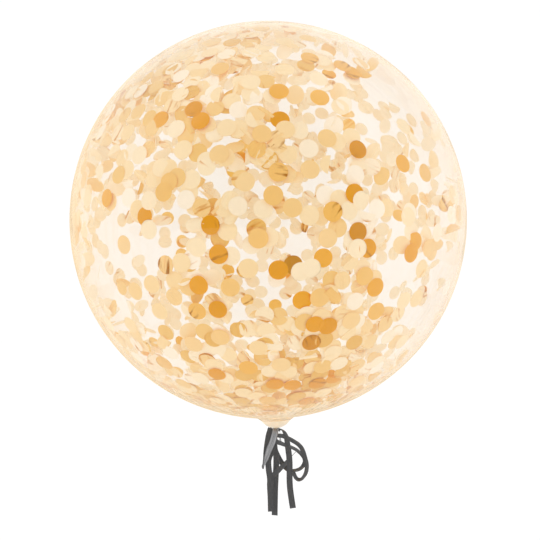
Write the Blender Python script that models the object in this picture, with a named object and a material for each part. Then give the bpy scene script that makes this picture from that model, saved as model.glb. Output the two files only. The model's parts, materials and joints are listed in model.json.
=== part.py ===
"""Clear bubble balloon: a sealed ball of film with a tied-off neck, and a loose ribbon bow below it.

The part stands upright in its own frame, +Z up and -Y towards the front. Its origin is the middle
of the flat cut end of the neck, and the ribbons hang below that.
"""

import math

import bmesh
import bpy
from mathutils import Vector

MM = 0.001

# Driving dimensions, in metres
BALLOON_DIAMETER = 0.610
POLE_HEIGHT = 0.033
RIBBON_WIDTH = 0.0095
RIBBON_THICKNESS = 0.0004

# The neck, from its cut end up to the tie
NECK_END_RADIUS = 0.0042
NECK_WAIST_RADIUS = 0.0036
TIE_BOTTOM = 0.0100
TIE_TOP = 0.0156
TIE_RADIUS = 0.0052
TIE_GAP = 0.0003
TIE_SHOULDER = 0.25

# The funnel above the tie, as radius and height in millimetres, up to where the ball takes over
FUNNEL = [
    (3.6, 15.6),
    (5.2, 15.9),
    (8.0, 16.3),
    (12.6, 17.9),
    (18.2, 21.6),
    (23.6, 27.2),
    (30.0, 31.9),
]
FUNNEL_TOP_RADIUS = 0.040
FUNNEL_STEPS = 2

# How finely the solids are faceted
TURNED_SIDES = 60
BALL_RINGS = 30
TIE_SIDES = 32
RIBBON_STEP = 0.0022
FINE_STEPS = 24
SHARP_ANGLE = 40

# Each ribbon's route, point by point: x, y and z in millimetres, and how many degrees its flat
# side is turned away from the front
RIBBON_ROUTES = {
    "ribbon_loop_left": [
        (-7.9, -5.8, 16.2, 0),
        (-9.7, -6.8, 10.9, 0),
        (-11.8, -7.8, 4.8, 0),
        (-14.3, -8.6, -6.6, -8),
        (-16.7, -8.4, -19.3, -25),
        (-18.8, -8.4, -28.9, -50),
        (-21.3, -8.8, -37.5, -75),
        (-23.4, -9.4, -41.8, -90),
        (-22.1, -9.6, -45.3, -90),
        (-20.3, -9.8, -41.8, -90),
        (-19.3, -10.4, -37.8, -108),
        (-17.7, -11.2, -32.2, -135),
        (-14.1, -11.6, -22.4, -155),
        (-10.8, -11.6, -13.8, -168),
        (-6.2, -11.0, -4.4, -180),
        (-2.9, -10.4, 5.1, -180),
        (-1.3, -9.2, 11.1, -180),
        (-0.4, -7.8, 15.0, -180),
    ],
    "ribbon_loop_outer": [
        (-2.7, -6.6, 8.6, 10),
        (0.8, -7.0, 5.2, 20),
        (5.7, -6.2, 3.8, 32),
        (10.6, -4.8, 2.7, 42),
        (18.3, -3.8, -1.1, 47),
        (26.0, -3.2, -5.7, 50),
        (33.6, -3.0, -11.1, 52),
        (38.8, -3.0, -17.4, 50),
        (41.7, -3.0, -24.8, 47),
        (43.8, -3.0, -32.7, 45),
        (45.8, -2.6, -40.7, 48),
        (46.0, -2.2, -48.7, 52),
        (44.2, -1.6, -56.6, 58),
        (40.4, -1.0, -63.0, 68),
        (36.5, -0.4, -66.9, 72),
        (31.6, 0.6, -67.5, 66),
        (27.8, 1.2, -64.1, 58),
        (25.3, 1.4, -58.7, 54),
        (21.4, 2.3, -53.9, 54),
        (15.6, 4.1, -51.0, 52),
        (11.3, 6.2, -47.5, 46),
        (7.1, 7.3, -41.9, 40),
        (2.5, 7.8, -33.9, 36),
        (-1.2, 8.4, -26.0, 28),
        (-3.6, 8.8, -18.1, 20),
        (-3.2, 8.8, -6.3, 10),
        (-0.6, 8.2, 4.6, 0),
    ],
    "ribbon_loop_inner": [
        (-3.9, -5.0, 8.3, 0),
        (-5.1, -5.9, 3.2, 5),
        (-4.1, -6.3, -1.7, 16),
        (-1.0, -5.2, -5.0, 38),
        (4.3, -3.2, -7.8, 52),
        (13.0, 0.0, -12.0, 60),
        (21.8, 2.4, -16.0, 62),
        (29.6, 4.2, -20.4, 62),
        (34.4, 5.2, -24.6, 60),
        (39.1, 5.8, -29.4, 56),
        (42.7, 6.2, -35.0, 50),
        (43.5, 6.6, -40.6, 50),
        (41.7, 7.0, -45.8, 56),
        (37.9, 7.4, -50.2, 64),
        (33.4, 9.0, -53.4, 70),
        (28.4, 10.2, -55.0, 72),
        (23.5, 11.1, -55.7, 70),
        (18.6, 11.7, -54.8, 62),
        (13.7, 11.9, -52.0, 56),
        (9.5, 11.6, -47.0, 50),
        (4.8, 11.8, -40.0, 42),
        (0.6, 12.0, -32.0, 34),
        (-2.8, 12.0, -21.9, 24),
        (-3.2, 11.6, -7.9, 12),
        (0.6, 9.8, 4.2, 0),
    ],
    "ribbon_tail_left": [
        (-7.0, 0.0, 7.7, 90),
        (-7.9, 0.6, 0.8, 66),
        (-8.2, 0.8, -7.1, 46),
        (-7.9, 0.2, -14.4, 26),
        (-9.5, -1.8, -22.7, 12),
        (-13.3, -2.6, -32.6, 10),
        (-14.1, -2.6, -40.4, 8),
        (-13.6, -2.6, -51.2, 5),
        (-12.5, -2.6, -61.1, 0),
        (-12.3, -2.6, -70.9, 0),
        (-12.5, -2.6, -89.5, 0),
        (-12.8, -2.6, -115.2, 0),
    ],
    "ribbon_tail_middle": [
        (-5.1, 5.2, 6.5, 0),
        (-5.2, 5.4, -1.0, 0),
        (-4.5, 5.0, -9.8, 0),
        (-3.1, 4.4, -19.5, 10),
        (-1.5, 4.0, -28.8, 15),
        (-1.5, 4.0, -38.7, 15),
        (-2.1, 4.0, -48.5, 12),
        (-3.0, 4.0, -58.3, 10),
        (-3.9, 4.0, -68.2, 8),
        (-5.1, 4.0, -81.9, 5),
        (-6.2, 4.0, -101.6, 8),
        (-7.2, 4.0, -123.0, 15),
    ],
    "ribbon_tail_right": [
        (6.7, -3.0, 13.2, 0),
        (9.4, -6.9, 12.1, 0),
        (12.7, -9.8, 8.8, 0),
        (15.2, -10.8, 3.4, 0),
        (16.6, -10.5, -4.4, 0),
        (17.5, -9.8, -14.3, 5),
        (18.5, -9.0, -24.3, 10),
        (19.1, -8.2, -34.3, 10),
        (19.0, -7.6, -44.2, 8),
        (18.5, -7.2, -55.1, 4),
        (18.1, -7.0, -65.9, 0),
        (18.3, -7.0, -77.6, 0),
        (19.2, -7.0, -88.4, 0),
        (20.4, -7.0, -99.2, 0),
        (21.7, -7.0, -110.0, 0),
    ],
    "ribbon_tail_turned": [
        (5.9, 4.2, 5.8, 90),
        (6.1, 6.0, -2.0, 80),
        (7.8, 8.2, -10.5, 66),
        (13.1, 10.4, -15.7, 66),
        (20.9, 12.0, -19.8, 70),
        (25.8, 13.5, -22.2, 80),
        (28.9, 14.0, -23.6, 87),
        (30.7, 14.2, -25.1, 92),
        (29.6, 13.7, -26.9, 96),
        (27.0, 12.5, -29.1, 98),
        (23.9, 10.4, -32.0, 100),
        (20.2, 8.0, -35.2, 112),
        (17.1, 5.4, -37.8, 126),
        (13.0, 1.6, -41.4, 138),
        (8.8, -1.2, -44.9, 144),
        (3.3, -1.9, -49.6, 150),
        (-1.3, -1.6, -53.7, 158),
        (-6.2, -0.6, -58.9, 168),
        (-10.3, 0.2, -63.9, 176),
        (-12.5, 0.4, -69.8, 180),
        (-12.8, 0.4, -80.6, 180),
        (-12.5, 0.4, -95.3, 180),
        (-12.2, 0.4, -115.0, 180),
    ],
}

# Where a ribbon is pinched into the knot: the share of its width left there, and how far it takes
# to open out, in metres
PINCH = 0.38
PINCH_LENGTH = 0.013
UNPINCHED = {"ribbon_loop_left"}
LOOPS = {"ribbon_loop_left", "ribbon_loop_outer", "ribbon_loop_inner"}

# The finishes: colour, roughness, and for the film how see-through it is
FILM_COLOUR = (0.98, 0.93, 0.86)
FILM_ROUGHNESS = 0.05
FILM_ALPHA = 0.35
FILM_TRANSMISSION = 0.9
SATIN_COLOUR = (0.08, 0.078, 0.08)
SATIN_ROUGHNESS = 0.35


def clear_scene():
    for old in list(bpy.data.objects):
        bpy.data.objects.remove(old, do_unlink=True)


def make_material(name, colour, roughness, alpha=1.0, transmission=0.0):
    material = bpy.data.materials.new(name)
    material.use_nodes = True
    shader = material.node_tree.nodes["Principled BSDF"]
    shader.inputs["Base Color"].default_value = (*colour, 1.0)
    shader.inputs["Roughness"].default_value = roughness
    shader.inputs["Metallic"].default_value = 0.0
    shader.inputs["Alpha"].default_value = alpha
    shader.inputs["Transmission Weight"].default_value = transmission
    return material


def add_object(name, bm, material):
    """Turn a closed bmesh into a named, smooth-shaded object with outward faces."""
    bmesh.ops.recalc_face_normals(bm, faces=bm.faces)
    mesh = bpy.data.meshes.new(name)
    bm.to_mesh(mesh)
    bm.free()
    mesh.materials.append(material)
    mesh.shade_smooth()
    mesh.set_sharp_from_angle(angle=math.radians(SHARP_ANGLE))
    obj = bpy.data.objects.new(name, mesh)
    bpy.context.scene.collection.objects.link(obj)
    return obj


def smooth_through(points, steps):
    """A Catmull-Rom curve through the points, each a tuple of numbers of the same length."""
    knots = [points[0], *points, points[-1]]
    result = []
    for before, start, end, after in zip(knots, knots[1:], knots[2:], knots[3:]):
        for step in range(steps):
            t = step / steps
            result.append(tuple(catmull_rom(*values, t) for values in zip(before, start, end, after)))
    result.append(tuple(points[-1]))
    return result


def catmull_rom(before, start, end, after, t):
    slope = end - before
    bend = 2 * before - 5 * start + 4 * end - after
    twist = 3 * start - before - 3 * end + after
    return start + 0.5 * t * (slope + t * (bend + t * twist))


def add_turned(bm, profile, sides):
    """Turn an outline of (radius, height) about the Z axis and return its rings of corners.

    A radius of 0 closes the outline at a point; a ring left open gets its own end face.
    """
    rings = []
    for radius, height in profile:
        if radius == 0:
            rings.append([bm.verts.new((0, 0, height))] * sides)
            continue
        angles = [2 * math.pi * side / sides for side in range(sides)]
        rings.append([bm.verts.new((radius * math.cos(a), radius * math.sin(a), height)) for a in angles])
    for lower, upper in zip(rings, rings[1:]):
        for side in range(sides):
            after = (side + 1) % sides
            corners = [lower[side], lower[after], upper[after], upper[side]]
            bm.faces.new(list(dict.fromkeys(corners)))
    return rings


def film_profile():
    """The film's outline: cut end, gathered neck, funnel, and the ball up to its top."""
    radius = BALLOON_DIAMETER / 2
    centre = POLE_HEIGHT + radius
    neck = [
        (NECK_END_RADIUS, 0),
        (NECK_WAIST_RADIUS, TIE_BOTTOM - TIE_GAP),
    ]
    start = math.asin(FUNNEL_TOP_RADIUS / radius)
    join = (FUNNEL_TOP_RADIUS / MM, (centre - radius * math.cos(start)) / MM)
    funnel = [(r * MM, z * MM) for r, z in smooth_through([*FUNNEL, join], FUNNEL_STEPS)]
    sweep = [start + (math.pi - start) * ring / BALL_RINGS for ring in range(1, BALL_RINGS)]
    ball = [(radius * math.sin(a), centre - radius * math.cos(a)) for a in sweep]
    return [*neck, *funnel, *ball, (0, centre + radius)]


def add_film(material):
    """The sealed ball and neck, with one flat face across the cut end."""
    bm = bmesh.new()
    rings = add_turned(bm, film_profile(), TURNED_SIDES)
    bm.faces.new(rings[0])
    return add_object("bubble_film", bm, material)


def add_tie(material):
    """The ribbon's turns round the neck: a plain barrel-shaped ring in the waist below the funnel."""
    bottom = TIE_BOTTOM + TIE_GAP
    top = TIE_TOP - TIE_GAP
    inner = NECK_WAIST_RADIUS + TIE_GAP
    shoulder = (top - bottom) * TIE_SHOULDER
    outline = [
        (inner, bottom),
        (TIE_RADIUS - shoulder, bottom),
        (TIE_RADIUS, bottom + shoulder),
        (TIE_RADIUS, top - shoulder),
        (TIE_RADIUS - shoulder, top),
        (inner, top),
    ]
    bm = bmesh.new()
    add_turned(bm, [*outline, outline[0]], TIE_SIDES)
    bmesh.ops.remove_doubles(bm, verts=bm.verts, dist=MM * 0.01)
    return add_object("ribbon_tie", bm, material)


def even_route(points):
    """The smooth route as (place, turn, distance along it) in equal steps, and its whole length.

    Places and distances are in metres and turns in radians.
    """
    fine = smooth_through(points, FINE_STEPS)
    places = [Vector(point[:3]) * MM for point in fine]
    turns = [math.radians(point[3]) for point in fine]
    travelled = [0.0]
    for start, end in zip(places, places[1:]):
        travelled.append(travelled[-1] + (end - start).length)
    count = max(2, round(travelled[-1] / RIBBON_STEP))
    result = []
    index = 0
    for step in range(count + 1):
        target = travelled[-1] * step / count
        while index < len(travelled) - 2 and travelled[index + 1] < target:
            index += 1
        share = (target - travelled[index]) / (travelled[index + 1] - travelled[index])
        place = places[index].lerp(places[index + 1], share)
        turn = turns[index] + (turns[index + 1] - turns[index]) * share
        result.append((place, turn, target))
    return result, travelled[-1]


def opening(distance):
    """How far a ribbon has opened out of its pinch, from 0 to 1, at a distance from its root."""
    t = min(1.0, max(0.0, distance / PINCH_LENGTH))
    return t * t * (3 - 2 * t)


def ribbon_width(name, distance, length):
    if name in UNPINCHED:
        return RIBBON_WIDTH
    opened = opening(distance)
    if name in LOOPS:
        opened = min(opened, opening(length - distance))
    return RIBBON_WIDTH * (PINCH + (1 - PINCH) * opened)


def add_ribbon(name, points, material):
    """A flat strip along its route, its width turned away from the front by each point's angle."""
    route, length = even_route(points)
    places = [place for place, _, _ in route]
    bm = bmesh.new()
    rings = []
    for index, (place, turn, distance) in enumerate(route):
        ahead = places[min(index + 1, len(places) - 1)]
        behind = places[max(index - 1, 0)]
        along = (ahead - behind).normalized()
        sideways = along.cross(Vector((0, 1, 0))).normalized()
        inwards = along.cross(sideways)
        across = sideways * math.cos(turn) + inwards * math.sin(turn)
        face = along.cross(across)
        half = across * (ribbon_width(name, distance, length) / 2)
        skin = face * (RIBBON_THICKNESS / 2)
        corners = [place - half - skin, place + half - skin, place + half + skin, place - half + skin]
        rings.append([bm.verts.new(corner) for corner in corners])
    for start, end in zip(rings, rings[1:]):
        add_ribbon_stretch(bm, start, end)
    bm.faces.new(rings[0])
    bm.faces.new(rings[-1])
    return add_object(name, bm, material)


def add_ribbon_stretch(bm, start, end):
    """Join two ribbon sections; both flat sides are split along the same diagonal, so a twisted
    stretch keeps its thickness."""
    for left, right in ((0, 1), (3, 2)):
        bm.faces.new((start[left], start[right], end[right]))
        bm.faces.new((start[left], end[right], end[left]))
    for side in (1, 3):
        after = (side + 1) % 4
        bm.faces.new((start[side], start[after], end[after], end[side]))


def main():
    clear_scene()
    film = make_material(
        "clear_film", FILM_COLOUR, FILM_ROUGHNESS, alpha=FILM_ALPHA, transmission=FILM_TRANSMISSION
    )
    satin = make_material("satin_ribbon", SATIN_COLOUR, SATIN_ROUGHNESS)
    add_film(film)
    add_tie(satin)
    for name, points in RIBBON_ROUTES.items():
        add_ribbon(name, points, satin)


main()
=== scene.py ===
# %% [markdown]
# # A clear bubble balloon with confetti inside and a satin bow below
#
# The real thing is a ball of clear stretchy film, filled through its neck. Paper and foil discs
# are put in first and cling to the inside. A dark satin ribbon ties the neck shut, and its loops
# and tails hang below. This lesson dresses the plain solids of the CAD model, which it loads as a
# fixed frame: every length is in metres, +Z is up and the front faces -Y.

# %% Load the frame
import json
import math

import bmesh
import bpy
import numpy as np
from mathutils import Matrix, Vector
from mathutils.noise import noise as wobble

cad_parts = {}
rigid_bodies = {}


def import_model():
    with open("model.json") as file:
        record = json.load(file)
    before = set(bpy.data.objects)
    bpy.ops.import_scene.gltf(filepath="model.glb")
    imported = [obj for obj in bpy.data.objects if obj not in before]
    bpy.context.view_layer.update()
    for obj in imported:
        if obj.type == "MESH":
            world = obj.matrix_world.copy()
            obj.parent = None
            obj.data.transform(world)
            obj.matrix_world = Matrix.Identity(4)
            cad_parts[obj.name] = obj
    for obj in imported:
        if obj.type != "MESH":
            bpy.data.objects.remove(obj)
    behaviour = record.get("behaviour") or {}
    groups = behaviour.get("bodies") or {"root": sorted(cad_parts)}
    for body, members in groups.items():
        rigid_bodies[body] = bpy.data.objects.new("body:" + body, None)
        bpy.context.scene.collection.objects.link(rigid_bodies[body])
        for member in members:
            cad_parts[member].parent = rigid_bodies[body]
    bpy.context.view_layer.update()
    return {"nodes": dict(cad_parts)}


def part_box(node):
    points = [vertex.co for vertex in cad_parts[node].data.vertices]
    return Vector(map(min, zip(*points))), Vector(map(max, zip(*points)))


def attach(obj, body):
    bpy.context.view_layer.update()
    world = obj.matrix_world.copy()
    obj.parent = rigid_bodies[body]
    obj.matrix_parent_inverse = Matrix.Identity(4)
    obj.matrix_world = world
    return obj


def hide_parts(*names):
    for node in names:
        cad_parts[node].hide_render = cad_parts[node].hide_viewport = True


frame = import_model()
print("CAD nodes:", sorted(frame["nodes"]))

# %% [markdown]
# ## The ball's own measures
#
# Everything else is placed by the ball, so its middle and radius are read from the CAD film
# instead of being typed in again. The film's lowest point is the neck's cut end and its highest
# point is the top of the ball.

# %% Measure the ball
film_low, film_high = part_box("bubble_film")
BALL_RADIUS = (film_high.y - film_low.y) / 2
BALL_CENTRE = Vector((0, 0, film_high.z - BALL_RADIUS))
print(f"ball radius {BALL_RADIUS:.4f}, middle at {BALL_CENTRE.z:.4f}")

# %% [markdown]
# ## The camera
#
# The balloon is seen from straight in front, a little below its middle, from under five ball
# radii away, and the view is tipped by about two degrees. A lens of 61 mm on the usual 36 mm
# sensor fills the square picture with the ball and leaves room for the ribbons. The balloon's
# middle sits above and just left of the picture's middle, so the camera is moved down and right
# by that much, which keeps the lens unshifted.

# %% Place the camera
VIEW_DISTANCE = 4.7 * BALL_RADIUS
VIEW_ROLL = math.radians(2.15)
FOCAL_LENGTH = 60.87
SENSOR_WIDTH = 36.0
MIDDLE_ACROSS = -0.00315
MIDDLE_UP = 0.0887


def in_scene(name, data):
    """A new object, linked to the scene."""
    made = bpy.data.objects.new(name, data)
    bpy.context.scene.collection.objects.link(made)
    return made


def place_camera():
    """A level camera in front of the ball, rolled, with the ball off the picture's middle."""
    data = bpy.data.cameras.new("view")
    data.lens = FOCAL_LENGTH
    data.sensor_width = SENSOR_WIDTH
    data.dof.use_dof = False
    camera = in_scene("view", data)
    right = Vector((math.cos(VIEW_ROLL), 0, -math.sin(VIEW_ROLL)))
    up = Vector((math.sin(VIEW_ROLL), 0, math.cos(VIEW_ROLL)))
    picture_width = VIEW_DISTANCE * SENSOR_WIDTH / FOCAL_LENGTH
    camera.location = (
        BALL_CENTRE
        - Vector((0, VIEW_DISTANCE, 0))
        - right * MIDDLE_ACROSS * picture_width
        - up * MIDDLE_UP * picture_width
    )
    camera.rotation_euler = (math.radians(90), VIEW_ROLL, 0)
    bpy.context.scene.camera = camera
    return camera


camera = place_camera()
print("camera at", [round(value, 3) for value in camera.location])

# %% [markdown]
# ## The ribbons' routes
#
# Each free ribbon follows a line of points from the knot. A point is x, y and z, and how many
# degrees the flat side is turned away from the front there. The loops come back to the knot; the
# tails end in a plain cut. The points are those of the CAD solids, so a ribbon lies where its
# solid lies.

# %% Ribbon routes
ROUTES = {
    "ribbon_loop_left": [
        (-0.0079, -0.0058, 0.0162, 0), (-0.0097, -0.0068, 0.0109, 0),
        (-0.0118, -0.0078, 0.0048, 0), (-0.0143, -0.0086, -0.0066, -8),
        (-0.0167, -0.0084, -0.0193, -25), (-0.0188, -0.0084, -0.0289, -48),
        (-0.0213, -0.0088, -0.0375, -66), (-0.0234, -0.0094, -0.0418, -76),
        (-0.0221, -0.0096, -0.0453, -80), (-0.0203, -0.0098, -0.0418, -98),
        (-0.0193, -0.0104, -0.0378, -112), (-0.0177, -0.0112, -0.0322, -135),
        (-0.0141, -0.0116, -0.0224, -155), (-0.0108, -0.0116, -0.0138, -168),
        (-0.0062, -0.011, -0.0044, -180), (-0.0029, -0.0104, 0.0051, -180),
        (-0.0013, -0.0092, 0.0111, -180), (-0.0004, -0.0078, 0.015, -180),
    ],
    "ribbon_loop_outer": [
        (-0.0027, -0.0066, 0.0086, 10), (0.0008, -0.007, 0.0052, 20),
        (0.0057, -0.0062, 0.0038, 32), (0.0106, -0.0048, 0.0027, 38),
        (0.0183, -0.0038, -0.0011, 40), (0.026, -0.0032, -0.0057, 40),
        (0.0336, -0.003, -0.0111, 41), (0.0388, -0.003, -0.0174, 41),
        (0.0417, -0.003, -0.0248, 41), (0.0438, -0.003, -0.0327, 43),
        (0.0458, -0.0026, -0.0407, 48), (0.046, -0.0022, -0.0487, 52),
        (0.0442, -0.0016, -0.0566, 58), (0.0404, -0.001, -0.063, 68),
        (0.0365, -0.0004, -0.0669, 72), (0.0316, 0.0006, -0.0675, 66),
        (0.0278, 0.0012, -0.0641, 58), (0.0253, 0.0014, -0.0587, 54),
        (0.0214, 0.0023, -0.0539, 54), (0.0156, 0.0041, -0.051, 52), (0.0113, 0.0062, -0.0475, 46),
        (0.0071, 0.0073, -0.0419, 40), (0.0025, 0.0078, -0.0339, 36),
        (-0.0012, 0.0084, -0.026, 28), (-0.0036, 0.0088, -0.0181, 20),
        (-0.0032, 0.0088, -0.0063, 10), (-0.0006, 0.0082, 0.0046, 0),
    ],
    "ribbon_loop_inner": [
        (-0.0039, -0.005, 0.0083, 0), (-0.0051, -0.0059, 0.0032, 5),
        (-0.0041, -0.0063, -0.0017, 16), (-0.001, -0.0052, -0.005, 26),
        (0.0043, -0.0032, -0.0078, 36), (0.013, 0, -0.012, 44), (0.0218, 0.0024, -0.016, 48),
        (0.0296, 0.0042, -0.0204, 49), (0.0344, 0.0052, -0.0246, 49),
        (0.0391, 0.0058, -0.0294, 48), (0.0427, 0.0062, -0.035, 48), (0.0435, 0.0066, -0.0406, 50),
        (0.0417, 0.007, -0.0458, 56), (0.0379, 0.0074, -0.0502, 64), (0.0334, 0.009, -0.0534, 70),
        (0.0284, 0.0102, -0.055, 72), (0.0235, 0.0111, -0.0557, 70), (0.0186, 0.0117, -0.0548, 62),
        (0.0137, 0.0119, -0.052, 56), (0.0095, 0.0116, -0.047, 50), (0.0048, 0.0118, -0.04, 42),
        (0.0006, 0.012, -0.032, 34), (-0.0028, 0.012, -0.0219, 24), (-0.0032, 0.0116, -0.0079, 12),
        (0.0006, 0.0098, 0.0042, 0),
    ],
    "ribbon_tail_left": [
        (-0.007, 0, 0.0077, 90), (-0.0079, 0.0006, 0.0008, 66), (-0.0082, 0.0008, -0.0071, 46),
        (-0.0079, 0.0002, -0.0144, 26), (-0.0095, -0.0018, -0.0227, 12),
        (-0.0133, -0.0026, -0.0326, 10), (-0.0141, -0.0026, -0.0404, 8),
        (-0.0136, -0.0026, -0.0512, 5), (-0.0125, -0.0026, -0.0611, 0),
        (-0.0123, -0.0026, -0.0709, 0), (-0.0125, -0.0026, -0.0895, 0),
        (-0.0128, -0.0026, -0.1152, 0),
    ],
    "ribbon_tail_middle": [
        (-0.0051, 0.0052, 0.0065, 0), (-0.0052, 0.0054, -0.001, 0), (-0.0045, 0.005, -0.0098, 0),
        (-0.0031, 0.0044, -0.0195, 10), (-0.0015, 0.004, -0.0288, 15),
        (-0.0015, 0.004, -0.0387, 15), (-0.0021, 0.004, -0.0485, 12), (-0.003, 0.004, -0.0583, 10),
        (-0.0039, 0.004, -0.0682, 8), (-0.0051, 0.004, -0.0819, 5), (-0.0062, 0.004, -0.1016, 8),
        (-0.0072, 0.004, -0.123, 15),
    ],
    "ribbon_tail_right": [
        (0.0067, -0.003, 0.0132, 50), (0.0094, -0.0069, 0.0121, 52), (0.0127, -0.0098, 0.0088, 48),
        (0.0152, -0.0108, 0.0034, 40), (0.0166, -0.0105, -0.0044, 30),
        (0.0175, -0.0098, -0.0143, 18), (0.0185, -0.009, -0.0243, 10),
        (0.0191, -0.0082, -0.0343, 10), (0.019, -0.0076, -0.0442, 8),
        (0.0185, -0.0072, -0.0551, 4), (0.0181, -0.007, -0.0659, 0), (0.0183, -0.007, -0.0776, 0),
        (0.0192, -0.007, -0.0884, 0), (0.0204, -0.007, -0.0992, 0), (0.0217, -0.007, -0.11, 0),
    ],
    "ribbon_tail_turned": [
        (0.0059, 0.0042, 0.0058, 90), (0.0061, 0.006, -0.002, 80), (0.0078, 0.0082, -0.0105, 66),
        (0.0131, 0.0104, -0.0157, 66), (0.0209, 0.012, -0.0198, 70), (0.0258, 0.0135, -0.0222, 80),
        (0.0289, 0.014, -0.0236, 87), (0.0307, 0.0142, -0.0251, 92), (0.0296, 0.0137, -0.0269, 96),
        (0.027, 0.0125, -0.0291, 98), (0.0239, 0.0104, -0.032, 100), (0.0202, 0.008, -0.0352, 112),
        (0.0171, 0.0054, -0.0378, 126), (0.013, 0.0016, -0.0414, 138),
        (0.0088, -0.0012, -0.0449, 144), (0.0033, -0.0019, -0.0496, 150),
        (-0.0013, -0.0016, -0.0537, 158), (-0.0062, -0.0006, -0.0589, 168),
        (-0.0103, 0.0002, -0.0639, 176), (-0.0125, 0.0004, -0.0698, 180),
        (-0.0128, 0.0004, -0.0806, 180), (-0.0125, 0.0004, -0.0953, 180),
        (-0.0122, 0.0004, -0.115, 180),
    ],
}
RIBBON_WIDTH = 0.0095
PINCHED_SHARE = 0.38
PINCH_LENGTH = 0.013
UNPINCHED = {"ribbon_loop_left"}
print(len(ROUTES), "ribbons")

# %% [markdown]
# ## From a few points to an even line
#
# A Catmull-Rom curve goes through every point and bends smoothly between them. It is first drawn
# finely, then walked in equal steps, because a strip made of equal steps has an even weave and
# folds without wrinkles.

# %% Smooth and even lines
FINE_STEPS = 24
RIBBON_STEP = 0.0009


def smooth_through(points, steps):
    """A Catmull-Rom curve through points, each a row of numbers of the same length."""
    rows = np.array(points, float)
    rows = np.vstack([rows[:1], rows, rows[-1:]])
    share = (np.arange(steps) / steps)[:, None]
    stretches = []
    for before, start, end, after in zip(rows, rows[1:], rows[2:], rows[3:]):
        slope = end - before
        bend = 2 * before - 5 * start + 4 * end - after
        twist = 3 * start - before - 3 * end + after
        stretches.append(start + 0.5 * share * (slope + share * (bend + share * twist)))
    return np.vstack([*stretches, rows[-1:]])


def even_line(points, step):
    """The smooth line walked in equal steps: its rows, and each row's distance along it."""
    fine = smooth_through(points, FINE_STEPS)
    travelled = np.r_[0, np.cumsum(np.linalg.norm(np.diff(fine[:, :3], axis=0), axis=1))]
    count = max(2, round(travelled[-1] / step))
    distances = np.linspace(0, travelled[-1], count + 1)
    rows = np.column_stack([np.interp(distances, travelled, column) for column in fine.T])
    return rows, distances


LINES = {name: even_line(points, RIBBON_STEP) for name, points in ROUTES.items()}
for name, (rows, distances) in LINES.items():
    print(f"{name}: {distances[-1] * 1000:.1f} mm in {len(rows)} sections")

# %% [markdown]
# ## A ribbon's cross-section
#
# Satin ribbon is a thin strip with a thicker woven edge, the selvedge, along both sides, and it
# cups a little across its width. The section below is a closed outline of points: across the
# front from edge to edge, then back across the rear. It is swept along the line, and its width
# direction is turned by each point's angle.

# %% Section and width
RIBBON_SEGMENTS = 10
MIDDLE_THICKNESS = 0.00026
SELVEDGE_THICKNESS = 0.00040
SELVEDGE_SHARE = 0.86
CUP_DEPTH = 0.00035
CUP_MIDDLE = 0.4


def ribbon_section():
    """Across the ribbon: each column's place from -1 to 1, its thickness and its cupping."""
    across = np.linspace(-1, 1, RIBBON_SEGMENTS + 1)
    across[1], across[-2] = -SELVEDGE_SHARE, SELVEDGE_SHARE
    thick = np.where(np.abs(across) >= SELVEDGE_SHARE, SELVEDGE_THICKNESS, MIDDLE_THICKNESS)
    return across, thick, CUP_DEPTH * (across**2 - CUP_MIDDLE)


def opened(distances):
    """How far a ribbon has opened out of its pinch at the knot, from 0 to 1."""
    share = np.clip(distances / PINCH_LENGTH, 0, 1)
    return share * share * (3 - 2 * share)


def ribbon_widths(name, distances):
    """The width along a ribbon: narrow where the knot pinches it, full beyond."""
    if name in UNPINCHED:
        return np.full(len(distances), RIBBON_WIDTH)
    share = opened(distances)
    if "loop" in name:
        share = np.minimum(share, opened(distances[-1] - distances))
    return RIBBON_WIDTH * (PINCHED_SHARE + (1 - PINCHED_SHARE) * share)


print("columns across a ribbon:", len(ribbon_section()[0]))

# %% [markdown]
# ## Which way a ribbon's width points
#
# A strip needs more than a line: at every step it has to know where its width points. That is
# sideways, square to the way of travel, and then turned about it by the angle of the route.

# %% Width directions


def directions_along(places):
    """The travel direction at each place of a line, as unit rows."""
    along = np.gradient(places, axis=0)
    return along / np.linalg.norm(along, axis=1, keepdims=True)


def turned_widths(rows):
    """Which way the ribbon's width points at each row: sideways, turned by the row's angle."""
    along = directions_along(rows[:, :3])
    sideways = np.cross(along, (0, 1, 0))
    sideways /= np.linalg.norm(sideways, axis=1, keepdims=True)
    inwards = np.cross(along, sideways)
    turns = np.radians(rows[:, 3:4])
    return sideways * np.cos(turns) + inwards * np.sin(turns)


for name, (rows, _) in LINES.items():
    print(name, "starts with its width along", turned_widths(rows)[0].round(2))

# %% [markdown]
# ## Sweep a strip
#
# Each step of the line gets one ring of corners, and faces join ring to ring. Both ends are
# closed, so that the strip is a solid. Front and rear get different material numbers, since the
# satin shines on one side only, and a UV map in metres lets the weave follow the ribbon.

# %% Sweep the ribbons
DULL_SIDE, GLOSSY_SIDE = 0, 1
GLOSSY_FRONT = {"ribbon_loop_left"}
SATIN_ANGLE = 40


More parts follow.
